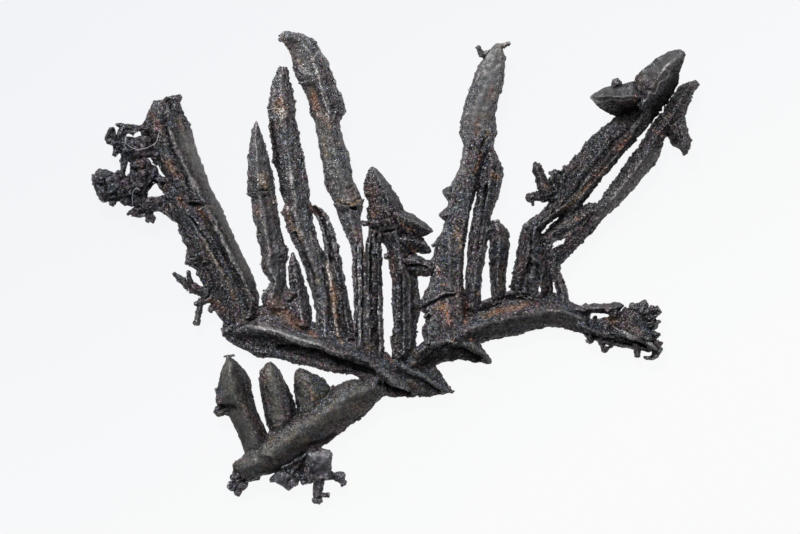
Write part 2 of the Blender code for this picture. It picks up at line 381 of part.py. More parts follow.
def tarnish(name, colour, roughness, metallic):
    """A material for silver under its black sulphide skin."""
    material = bpy.data.materials.new(name)
    material.use_nodes = True
    shader = material.node_tree.nodes["Principled BSDF"]
    shader.inputs["Base Color"].default_value = (*colour, 1)
    shader.inputs["Roughness"].default_value = roughness
    shader.inputs["Metallic"].default_value = metallic
    return material


def along(values, share):
    """The value at a share, 0 to 1, of the way through evenly spaced values."""
    place = share * (len(values) - 1)
    first = min(int(place), len(values) - 2)
    return values[first] + (values[first + 1] - values[first]) * (place - first)


def blade_ring(row, crest, floor, ridge, section):
    """The corners of one cross-section of a blade, with its crest moved to the ridge's share."""
    left, right = Vector(row[:2]), Vector(row[2:])
    ring = []
    for across, up in section:
        if across < .5:
            across *= ridge / .5
        else:
            across = ridge + (across - .5) * (1 - ridge) / .5
        spot = left.lerp(right, across)
        ring.append((spot.x * MM, spot.y * MM, (floor + (crest - floor) * up) * MM))
    return ring


def mesh_object(name, form):
    """An object of the bmesh form, in the parts' collection, with its faces pointing out."""
    bmesh.ops.recalc_face_normals(form, faces=form.faces)
    bmesh.ops.triangulate(form, faces=form.faces)
    mesh = bpy.data.meshes.new(name)
    form.to_mesh(mesh)
    form.free()
    thing = bpy.data.objects.new(name, mesh)
    bpy.data.collections[PARTS].objects.link(thing)
    return thing


def blade(name, rows, section, crest, floor, ridge=(.5, .5)):
    """A keeled crystal lofted through its rows from root to tip, closed at both ends."""
    form = bmesh.new()
    rings = []
    for number, row in enumerate(rows):
        share = number / (len(rows) - 1)
        top, bottom = along(crest, share), along(floor, share)
        if number == len(rows) - 1:
            middle, half = (top + bottom) / 2, (top - bottom) / 2 * TIP_THICKNESS
            top, bottom = middle + half, middle - half
        corners = blade_ring(row, top, bottom, along(ridge, share), section)
        rings.append([form.verts.new(corner) for corner in corners])
    for lower, upper in zip(rings, rings[1:]):
        for here in range(len(section)):
            after = (here + 1) % len(section)
            form.faces.new((lower[here], lower[after], upper[after], upper[here]))
    form.faces.new(rings[0])
    form.faces.new(rings[-1])
    return mesh_object(name, form)


def spike(row):
    """A tapered crystal from its root to its tip."""
    root, tip = Vector(row[:3]) * MM, Vector(row[3:6]) * MM
    run = tip - root
    form = bmesh.new()
    bmesh.ops.create_cone(form, cap_ends=True, segments=4 if row[6] < SLIM_SPIKE else 5,
                          radius1=row[6] / 2 * MM, radius2=row[7] / 2 * MM, depth=run.length)
    place = Matrix.Translation(root + run / 2) @ run.to_track_quat("Z", "Y").to_matrix().to_4x4()
    bmesh.ops.transform(form, matrix=place, verts=form.verts)
    return mesh_object("spike", form)


def nugget(row):
    """A stubby crystal, taller one way than the others."""
    x, y, z, width, turn = row
    form = bmesh.new()
    bmesh.ops.create_icosphere(form, subdivisions=1, radius=width / 2 * MM)
    place = (Matrix.Translation(Vector((x, y, z)) * MM)
             @ Matrix.Rotation(math.radians(turn), 4, NUGGET_AXIS)
             @ Matrix.Diagonal(NUGGET_STRETCH))
    bmesh.ops.transform(form, matrix=place, verts=form.verts)
    return mesh_object("nugget", form)


def block(centre, size, turn, bevel):
    """A cube-like crystal with truncated edges."""
    form = bmesh.new()
    bmesh.ops.create_cube(form, size=1)
    bmesh.ops.transform(form, verts=form.verts, matrix=Matrix.Diagonal((*size, 1)))
    bmesh.ops.bevel(form, geom=form.edges, offset=bevel, segments=1, affect="EDGES")
    place = (Matrix.Scale(MM, 4) @ Matrix.Translation(centre)
             @ Matrix.Rotation(math.radians(turn), 4, "Z")
             @ Matrix.Rotation(math.radians(BLOCK_TILT), 4, "X"))
    bmesh.ops.transform(form, matrix=place, verts=form.verts)
    return mesh_object("block", form)


def opening(outline):
    """A cutter for a gap that goes right through a piece."""
    form = bmesh.new()
    floor = [form.verts.new((x * MM, y * MM, -OPENING_REACH * MM)) for x, y in outline]
    roof = [form.verts.new((x * MM, y * MM, OPENING_REACH * MM)) for x, y in outline]
    form.faces.new(floor)
    form.faces.new(roof)
    for here in range(len(outline)):
        after = (here + 1) % len(outline)
        form.faces.new((floor[here], floor[after], roof[after], roof[here]))
    cutter = mesh_object("opening", form)
    bpy.data.collections[PARTS].objects.unlink(cutter)
    bpy.data.collections["cutters"].objects.link(cutter)
    cutter.hide_render = True
    cutter.display_type = "WIRE"
    return cutter


def pierce(thing, outline):
    """Cuts a gap right through thing."""
    cutter = opening(outline)
    boolean(thing, cutter, "DIFFERENCE")
    bpy.data.objects.remove(cutter)
    return thing


def keep_largest_body(thing):
    """Drops every loose scrap that a cut leaves behind."""
    form = bmesh.new()
    form.from_mesh(thing.data)
    waiting, bodies = set(form.verts), []
    while waiting:
        body, edge = set(), [waiting.pop()]
        while edge:
            here = edge.pop()
            body.add(here)
            near = {link.other_vert(here) for link in here.link_edges} & waiting
            waiting -= near
            edge.extend(near)
        bodies.append(body)
    bodies.sort(key=len)
    for body in bodies[:-1]:
        bmesh.ops.delete(form, geom=list(body), context="VERTS")
    form.to_mesh(thing.data)
    form.free()


def boolean(thing, other, operation):
    """Joins or cuts thing with other, applied to its mesh."""
    modifier = thing.modifiers.new(operation, "BOOLEAN")
    modifier.operation = operation
    modifier.solver = "EXACT"
    modifier.object = other
    graph = bpy.context.evaluated_depsgraph_get()
    mesh = bpy.data.meshes.new_from_object(thing.evaluated_get(graph))
    thing.modifiers.clear()
    thing.data = mesh


def fuse(thing, growths):
    """Grows small crystals into thing, as one body."""
    for growth in growths:
        boolean(thing, growth, "UNION")
        bpy.data.objects.remove(growth)
    keep_largest_body(thing)
    return thing


def split_from(thing, *neighbours):
    """Cuts thing back at the fork, clear of what it grows from by the fork gap."""
    for neighbour in neighbours:
        cutter = bpy.data.objects.new("cutter", neighbour.data.copy())
        cutter.hide_render = True
        cutter.display_type = "WIRE"
        bpy.data.collections["cutters"].objects.link(cutter)
        swell = cutter.modifiers.new("swell", "DISPLACE")
        swell.mid_level = 0
        swell.strength = FORK_GAP * MM
        boolean(thing, cutter, "DIFFERENCE")
        bpy.data.objects.remove(cutter)
    keep_largest_body(thing)
    return thing


def grown(name, form, spikes=(), nuggets=(), lobes=()):
    """A blade with its lobes and small crystals fused to it."""
    growths = [blade("lobe", **lobe) for lobe in lobes]
    growths += [spike(row) for row in spikes] + [nugget(row) for row in nuggets]
    return fuse(blade(name, **form), growths)


def cluster(name, spikes, nuggets, blocks=()):
    """A knot of small crystals fused to each other."""
    growths = [block(**form) for form in blocks]
    growths += [nugget(row) for row in nuggets] + [spike(row) for row in spikes]
    first = growths.pop(0)
    first.name = name
    return fuse(first, growths)


def merge_level_faces(thing):
    """Joins faces that are nearly level, after the widest weld that leaves a sound mesh."""
    for weld in WELDS:
        form = bmesh.new()
        form.from_mesh(thing.data)
        bmesh.ops.remove_doubles(form, verts=form.verts, dist=weld * MM)
        bmesh.ops.dissolve_limit(form, angle_limit=math.radians(LEVEL_ANGLE), verts=form.verts,
                                 edges=form.edges)
        bmesh.ops.triangulate(form, faces=form.faces)
        sound = all(len(edge.link_faces) == 2 for edge in form.edges)
        if sound:
            form.to_mesh(thing.data)
        form.free()
        if sound:
            break


def finish(thing, material):
    """Gives a piece its material."""
    merge_level_faces(thing)
    thing.data.materials.clear()
    thing.data.materials.append(material)


def build():
    clear_scene()
    for name in (PARTS, "cutters"):
        collection = bpy.data.collections.new(name)
        bpy.context.scene.collection.children.link(collection)
    dark = tarnish("dark_tarnish", (.055, .053, .056), .48, .75)
    satin = tarnish("satin_tarnish", (.085, .080, .072), .40, .75)
    black = tarnish("black_crust", (.040, .038, .042), .60, .60)

    left_stem = grown("left_stem", LEFT_STEM)
    lower_stem = split_from(grown("lower_stem", LOWER_STEM), left_stem)
    points = [blade("near_point", **NEAR_POINT), blade("far_point", **FAR_POINT)]
    right_stem = split_from(fuse(blade("right_stem", **RIGHT_STEM), points), left_stem, lower_stem)

    left_arm = split_from(grown("left_arm", LEFT_ARM, LEFT_ARM_SPIKES, LEFT_ARM_NUGGETS), left_stem)
    arm_core = blade("arm_core", **LEFT_ARM)
    left_cluster = split_from(
        cluster("left_cluster", LEFT_CLUSTER_SPIKES, LEFT_CLUSTER_NUGGETS), arm_core)
    bpy.data.objects.remove(arm_core)

    finger_1 = split_from(grown("finger_1", FINGER_1), left_stem, left_arm)
    finger_2 = split_from(grown("finger_2", FINGER_2), left_stem, finger_1)
    finger_3 = split_from(grown("finger_3", FINGER_3), left_stem, finger_2)
    finger_4 = split_from(grown("finger_4", FINGER_4), left_stem, finger_3)
    finger_5 = split_from(grown("finger_5", FINGER_5), left_stem, finger_4)
    rib_pair = split_from(grown("rib_pair", RIB_PAIR), left_stem, finger_5)
    centre_crystal = split_from(
        grown("centre_crystal", CENTRE_CRYSTAL, CENTRE_SPIKES, lobes=CENTRE_LOBES),
        left_stem, right_stem, rib_pair, finger_5)

    finger_6 = split_from(grown("finger_6", FINGER_6, FINGER_6_SPIKES, lobes=FINGER_6_LOBES),
                          right_stem, centre_crystal)
    finger_7 = split_from(grown("finger_7", FINGER_7), right_stem, finger_6)
    finger_8 = split_from(grown("finger_8", FINGER_8), right_stem, finger_7)
    upper_arm = split_from(
        grown("right_upper_arm", RIGHT_UPPER_ARM, RIGHT_UPPER_SPIKES, RIGHT_UPPER_NUGGETS),
        right_stem, finger_8)
    lower_arm = split_from(
        fuse(blade("right_lower_arm", **RIGHT_LOWER_ARM), [blade("side_crystal", **SIDE_CRYSTAL)]),
        right_stem, upper_arm)
    head = fuse(blade("head_crystal", **HEAD_CRYSTAL),
                [blade("head_wedge", **HEAD_WEDGE)] + [nugget(row) for row in HEAD_NUGGETS])
    head = split_from(head, upper_arm, lower_arm)
    tuft = fuse(grown("right_tuft", TUFT_FAN, TUFT_SPIKES), [blade("tuft_twig", **TUFT_TWIG)])
    tuft = split_from(fuse(tuft, [nugget(row) for row in TUFT_NUGGETS]), right_stem, lower_arm)
    pierce(upper_arm, TRUNK_OPENING)
    pierce(lower_arm, FORK_OPENING)

    outer = grown("outer_spear", OUTER_SPEAR, OUTER_SPEAR_SPIKES, OUTER_SPEAR_NUGGETS)
    outer = split_from(outer, lower_stem)
    middle = split_from(grown("middle_spear", MIDDLE_SPEAR), lower_stem, outer)
    inner = split_from(grown("inner_spear", INNER_SPEAR, INNER_SPEAR_SPIKES), lower_stem, middle)
    left_lump = split_from(cluster("left_lump", LEFT_LUMP_SPIKES, LEFT_LUMP_NUGGETS), lower_stem)
    right_lump = split_from(
        cluster("right_lump", RIGHT_LUMP_SPIKES, RIGHT_LUMP_NUGGETS, [BLOCK_CRYSTAL]), lower_stem)

    for piece in (left_stem, right_stem, left_arm, finger_1, finger_2, finger_3, finger_4,
                  finger_5, rib_pair, centre_crystal, finger_6, finger_7, finger_8, upper_arm,
                  lower_arm, head, tuft):
        finish(piece, dark)
    for piece in (lower_stem, outer, middle, inner):
        finish(piece, satin)
    for piece in (left_cluster, left_lump, right_lump):
        finish(piece, black)


build()
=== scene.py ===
"""The looks of the native silver dendrite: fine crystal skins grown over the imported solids."""
import math
from collections import namedtuple

import bmesh
import bpy
import numpy as np
from mathutils.bvhtree import BVHTree
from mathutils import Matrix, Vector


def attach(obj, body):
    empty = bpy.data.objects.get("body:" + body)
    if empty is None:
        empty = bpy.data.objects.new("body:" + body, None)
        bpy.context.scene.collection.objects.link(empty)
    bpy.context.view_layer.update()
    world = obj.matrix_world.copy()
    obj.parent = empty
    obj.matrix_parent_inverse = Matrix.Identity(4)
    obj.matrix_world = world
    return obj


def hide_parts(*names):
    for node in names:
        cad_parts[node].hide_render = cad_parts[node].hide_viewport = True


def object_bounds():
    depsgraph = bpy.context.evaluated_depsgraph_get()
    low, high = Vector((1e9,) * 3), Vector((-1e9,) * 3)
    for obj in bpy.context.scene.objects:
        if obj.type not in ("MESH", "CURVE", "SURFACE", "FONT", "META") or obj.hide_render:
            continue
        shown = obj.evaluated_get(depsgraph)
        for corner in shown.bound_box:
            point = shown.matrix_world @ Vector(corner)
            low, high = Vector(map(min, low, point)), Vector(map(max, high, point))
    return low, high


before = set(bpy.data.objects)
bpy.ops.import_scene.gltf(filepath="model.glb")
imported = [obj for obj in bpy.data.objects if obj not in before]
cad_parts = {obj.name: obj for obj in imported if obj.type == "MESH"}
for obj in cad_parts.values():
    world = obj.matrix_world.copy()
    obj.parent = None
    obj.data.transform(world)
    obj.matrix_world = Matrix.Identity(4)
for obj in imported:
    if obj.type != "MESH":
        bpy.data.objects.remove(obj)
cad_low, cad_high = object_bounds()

MM = 0.001

# The skins' own measures, in mm
VOXEL = 0.054            # the cell size of the fine skins
SLIVER = 0.001           # edges shorter than this are closed up
FORK_REACH = 0.135       # cut faces closer than this to a neighbour grow into it
FORK_BITE = 0.12         # how far they grow past the neighbour's surface
SWELL = 0.02             # how far a skin stands out past its solid
BEND = 0.035             # how far a skin wanders from its solid's straight edges
LUMP_HEIGHT = 0.045
STREAK_HEIGHT = 0.04     # of the striations along a piece's axis
SHARD_HEIGHT = 0.026
GRANULE_HEIGHT = 0.034
CRUST_HEIGHT = 0.07
PIT_DEPTH = 0.04
RAGGEDNESS = 0.08        # how far the sides stand in and out
FINE_RELIEF = 0.012      # the height over its surroundings that bares fine crests and paints highlights on them
BROAD_RELIEF = 0.05      # and the one that counts for wide crests, and for the hollows that get painted shade
LINT_RADIUS = 0.012

# Shares and numbers to the square millimetre
KEPT_FACES = 0.58        # share of a skin's faces that is kept once its relief is in
GRIT_DENSITY = 2.4
TOOTH_DENSITY = 2.2
BARE_SHINE = 0.45        # no crystals grow where the skin is smoother than this
FIRST_SEED = 11

# Each piece: its slot, its tone, how strong its lumps, striations, granules and side teeth are,
# and the axis that its striations follow, as x and y in mm.
Look = namedtuple("Look", "slot tone lumps streaks grit teeth axis")
DARK, SATIN, BLACK = "dark_tarnish", "satin_tarnish", "black_crust"
PIECES = {
    "left_stem": Look(DARK, .85, .7, .8, .8, .9, (-10.8, 2.7, -7.5, 2.6, -3, 1.2, 1.9, -1.4)),
    "right_stem": Look(DARK, .68, .8, .8, .8, .8, (0, 0, 3, 1.2, 7, 3.5, 11, 4.1, 13.5, 3.3)),
    "lower_stem": Look(SATIN, .81, .7, .4, .35, .7, (0, -.8, -3.5, -2.6, -10, -6.4)),
    "left_arm": Look(DARK, .73, .8, 1, .8, .8, (-9.6, 3.2, -12.2, 9.4, -14.6, 18)),
    "left_cluster": Look(BLACK, .58, 1, 0, .5, .5, (-17.4, 10.5, -17.4, 16.5)),
    "finger_1": Look(DARK, 1.15, .8, .6, .8, 1, (-7, 4.3, -7.6, 9, -8.5, 16.7)),
    "finger_2": Look(DARK, 1, .8, .8, 1, 1, (-5.5, 3, -6.1, 7.9)),
    "finger_3": Look(DARK, 1.12, .9, 1, 1, 1.1, (-3.9, 2.4, -5.7, 10, -6.8, 20.4)),
    "finger_4": Look(DARK, 1.08, .7, 1, .9, .8, (-2.6, 2.3, -3.5, 8, -4.8, 11.1)),
    "finger_5": Look(DARK, 1.15, 1, .8, .8, .7, (-1.7, 1.7, -1.8, 8.5, -3.9, 17, -6.6, 22.5)),
    "rib_pair": Look(DARK, .85, .5, 1.1, .6, .5, (-.6, 1.1, -.7, 9.9)),
    "centre_crystal": Look(DARK, .8, .8, .8, 1, .7, (1.3, 1, 1.2, 8, -.8, 13.6)),
    "finger_6": Look(DARK, .96, .55, .5, .6, .7, (4, 2.8, 4.6, 10, 6.4, 17, 7.5, 21.8)),
    "finger_7": Look(DARK, .8, .7, 1, .8, .7, (5.9, 4.2, 6.4, 10, 7.1, 15.1)),
    "finger_8": Look(DARK, .7, .8, .6, .9, .8, (7.5, 4.6, 7.6, 10.1)),
    "right_upper_arm": Look(DARK, .57, .9, 1, 1.1, 1.1, (9.5, 5, 10, 9.5, 14, 14, 18.5, 19.2)),
    "right_lower_arm": Look(DARK, .66, .8, .9, 1, .9, (11.6, 4.7, 11.6, 7.5, 16, 12.8, 20.8, 19.3)),
    "head_crystal": Look(DARK, .7, .5, .3, .35, .4, (13.7, 18.3, 17, 18.5, 19.7, 21.3)),
    "right_tuft": Look(DARK, .65, .8, .7, .45, .35, (12.9, 3.3, 18.2, 2.6)),
    "outer_spear": Look(SATIN, .85, .6, .4, .35, .6, (-8.7, -5, -10.2, -1.4, -10.4, 1)),
    "middle_spear": Look(SATIN, .85, .6, .4, .4, .7, (-6.9, -3.8, -7.6, .7)),
    "inner_spear": Look(SATIN, .85, .8, .4, .6, .8, (-5.1, -2.7, -5.4, .2)),
    "left_lump": Look(BLACK, .75, 1, 0, .3, .3, (-9.8, -6.8, -9.9, -8.3)),
    "right_lump": Look(BLACK, .95, 1, 0, .4, .4, (-7.8, -7, -2.6, -7.3)),
}

# Rounds of smoothing that round off a solid's sharp keel, the pieces that bend more than the
# others, and the leaves that grow on a square millimetre of the flaky ones.
SOFTENING = {"left_stem": 90, "right_stem": 60, "lower_stem": 180, "outer_spear": 60,
             "middle_spear": 60, "inner_spear": 40}
BENDS = {"left_cluster": .1, "right_tuft": .05, "left_lump": .1, "right_lump": .1}
LEAVES = {"left_cluster": .7, "right_tuft": .7, "left_lump": .4}

# Colours of the tarnish that every slot shares
STEEL_BLUE = (.050, .060, .088)
STEEL_BLUE_LIGHT = (.11, .15, .28)
UMBER = (.075, .060, .040)
VIOLET = (.17, .08, .17)
OLIVE = (.13, .155, .06)
TAN = (.28, .19, .10)
# a pale grey for painted glints and highlights, on rubbed metal too, and for flecks in ochre and rust
PALE_HIGHLIGHT = (.62, .60, .57)

# Each slot's own: name, base, crests and painted glints, ochre, rust, roughness, metallic, share of
# crystals painted bright as glints
TARNISHES = {
    DARK: ("silver_dark_tarnish", (.050, .048, .050), (.38, .375, .375), (.42, .26, .12),
           (.38, .085, .045), .36, .85, .6),
    SATIN: ("silver_satin_tarnish", (.060, .057, .050), (.32, .315, .285), (.32, .21, .11),
            (.24, .09, .05), .36, .8, .35),
    BLACK: ("silver_black_crust", (.042, .042, .048), (.36, .36, .39), (.24, .16, .09),
            (.18, .07, .04), .38, .85, .5),
}
CRYSTALLITES = 9.5       # to the millimetre
FACET_TILT = .85         # how far the crystallites' facets lean out of the surface
BUMP_DEPTH = .06         # mm

# The studio, in mm
VIEW_CENTRE = (1.0, 7.0)   # the point that the camera looks straight down on
VIEW_WIDTH = 53.33         # across the picture at the height of the crests
CAMERA_HEIGHT = 600.0
CREST_HEIGHT = 1.2
SENSOR_WIDTH = 36

# A row of the tables below has some words, and the x,y of each point of its line or outline. All
# are in mm. An indented row goes on with the one before.

# Plates that fill out the shaggy pieces: the piece, and the plate's underside and top
GROWTH = """
right_upper_arm .8 1.5 11.1,12.3 11.05,13.35 11.3,13.5 11.6,13.4 11.7,12.8 11.6,12
right_upper_arm .9 1.7 11.7,12.2 11.75,13 12.05,13.65 12.2,13.2 12.3,12.4
right_upper_arm 1 1.85 12.1,12.6 12.3,13.3 12.5,13.9 12.75,13.5 12.9,13.2 12.7,12.4
right_upper_arm .7 1.5 10.95,11.6 11,12.3 11.3,12.4 11.9,12.2 12.2,11.7 11.7,11.4
left_cluster 1 1.75 -19.5,12.83 -19.4,13.34 -19.04,13.55 -18.63,13.5 -18.17,13.34 -17.91,13.32
    -17.81,13.52 -17.63,13.34 -17.3,13.14 -16.99,12.68 -16.78,12.22 -16.73,10.98 -17.19,11.19
    -17.61,11.5 -18.02,11.45 -18.53,11.37 -19.04,11.5 -19.3,12.01 -19.48,12.47
left_cluster 1.2 1.45 -18.17,11.55 -17.76,11.55 -17.91,11.24 -18.12,11.06 -18.35,11.16
left_cluster 1.35 1.75 -18.48,16.06 -18.37,16.22 -18.17,16.19 -18.09,15.96 -18.02,15.7
    -17.76,15.45 -17.66,15.39 -17.81,15.14 -18.02,14.93 -18.27,15.14 -18.37,15.39 -18.58,15.45
    -18.63,15.7 -18.43,15.78
left_cluster 1.45 1.8 -17.99,16.42 -17.86,16.55 -17.55,16.55 -17.3,16.45 -17.14,16.55 -16.89,16.42
    -16.48,16.32 -16.25,16.16 -16.37,16.01 -16.73,15.91 -17.09,15.86 -17.4,15.75 -17.71,15.39
    -17.81,15.6 -17.61,15.96 -17.55,16.22 -17.86,16.34
left_cluster 1.3 1.65 -18.02,14.88 -17.71,15.14 -17.55,14.78 -17.71,14.47 -17.91,14.29
    -18.09,14.42
left_cluster 1.3 1.9 -17.61,15.39 -17.19,15.7 -16.78,15.6 -16.27,15.57 -15.81,15.24 -15.71,14.78
    -15.96,14.47 -15.86,14.22 -15.55,13.86 -15.71,13.55 -16.07,13.45 -16.48,13.65 -16.78,13.86
    -17.19,14.16 -17.5,14.47 -17.71,14.88
left_cluster 1.3 1.9 -16.99,13.24 -16.73,13.65 -16.22,13.75 -15.71,13.65 -15.3,13.55 -15.25,13.14
    -15.45,12.68 -15.76,12.32 -15.96,11.91 -16.32,11.81 -16.78,12.22 -16.99,12.68 -17.19,13.04
left_cluster 1.2 1.6 -15.5,13.65 -15.3,13.7 -15.14,13.14 -14.73,12.93 -14.68,12.52 -15.04,12.68
    -15.45,12.83 -15.66,13.09
left_cluster 1 1.3 -17.17,10.55 -16.78,10.63 -16.53,10.88 -16.17,10.93 -15.96,10.78 -16.02,10.47
    -16.37,10.29 -16.78,10.32
left_cluster .9 1.25 -15.96,10.78 -15.55,10.68 -15.4,10.42 -15.22,10.22 -15.5,10.06 -15.81,10.09
    -16.02,10.37
left_cluster .85 1.4 -15.76,11.39 -15.25,11.6 -14.68,11.75 -14.43,11.29 -14.68,10.68 -15.04,10.78
    -15.45,10.63 -15.96,10.73 -16.48,10.93 -16.27,11.34
left_cluster 1.1 1.6 -16.84,12.22 -16.48,11.81 -16.53,11.5 -16.48,10.93 -16.78,10.98
left_cluster 1.25 1.6 -15.81,11.91 -15.76,12.16 -15.45,12.42 -15.3,12.37 -15.45,12.06 -15.66,11.81
right_tuft .5 .85 13.62,2.27 13.97,2.3 13.94,1.93 13.67,1.83 13.42,1.97 13.33,2.17 13.5,2.08
    13.67,2.05
right_tuft .5 .85 14.36,2.02 14.71,1.81 14.81,1.65 14.97,1.74 15.08,1.66 14.86,1.36 14.64,1.41
    14.42,1.69
right_tuft .45 .85 16.65,1.74 17.06,1.61 17.03,1.23 16.92,.94 16.68,.97 16.61,1.37
right_tuft .6 1 18.21,2.16 18.44,1.86 18.42,1.3 18.22,.99 17.86,.74 17.44,.79 17.24,.95 17.58,1.02
    17.86,1.22 18.07,1.51 18.08,1.86
right_tuft .8 1.25 17.5,4.32 17.81,4.24 18.16,4.37 18.43,3.99 18.19,3.71 17.8,3.38 17.24,3.56
right_tuft .7 1.2 17.8,3.38 18.27,3.38 18.13,2.98 17.78,2.63 17.3,2.92
right_tuft .7 1.2 17.78,2.63 18.13,2.6 18.26,2.38 17.91,2.06 17.43,2.35
right_tuft .65 1.1 17.88,2.03 18.19,2.1 18.38,1.71 18.43,1.27 18,1.27
right_tuft .8 1.2 16.29,4.19 16.37,4.58 16.51,4.52 16.8,4.54 17.11,4.67 17.4,4.81 17.56,4.57
    17.5,4.32 16.92,4.06
"""

# Slits through the growth where its pieces nearly meet: the pieces that each cuts
GAPS = """
right_stem right_upper_arm 10.16,5.82 10.3,5.88 10.42,5.62 10.45,5.4 10.4,5.2 10.22,5.16 10.1,5.45
right_upper_arm right_lower_arm 11.08,8.5 11.28,8.74 11.69,8.82 12.1,8.96 11.88,8.54 11.56,8.43
    11.3,8.27 11.14,8.18
left_cluster left_arm -15.8,11.64 -15.72,12.03 -15.42,12.36 -15.15,12.57 -15.02,12.22 -14.7,11.93
    -14.66,11.72 -15.27,11.59
left_cluster left_arm -15.3,13.7 -15.13,13.8 -14.88,13.38 -14.65,13 -14.94,13.04 -15.2,13.36
"""

# Fibres of lint that lie on the left cluster
FIBRES = """
lint -15,16.2 -15.1,15.6 -15.3,15.2 -15.9,14.9 -16.5,14.8 -17,15 -17.4,15.45 -17.2,15.75
lint -16.8,11.1 -16.85,11.7 -16.75,12.1 -16.5,12.3 -16.3,12.1
"""
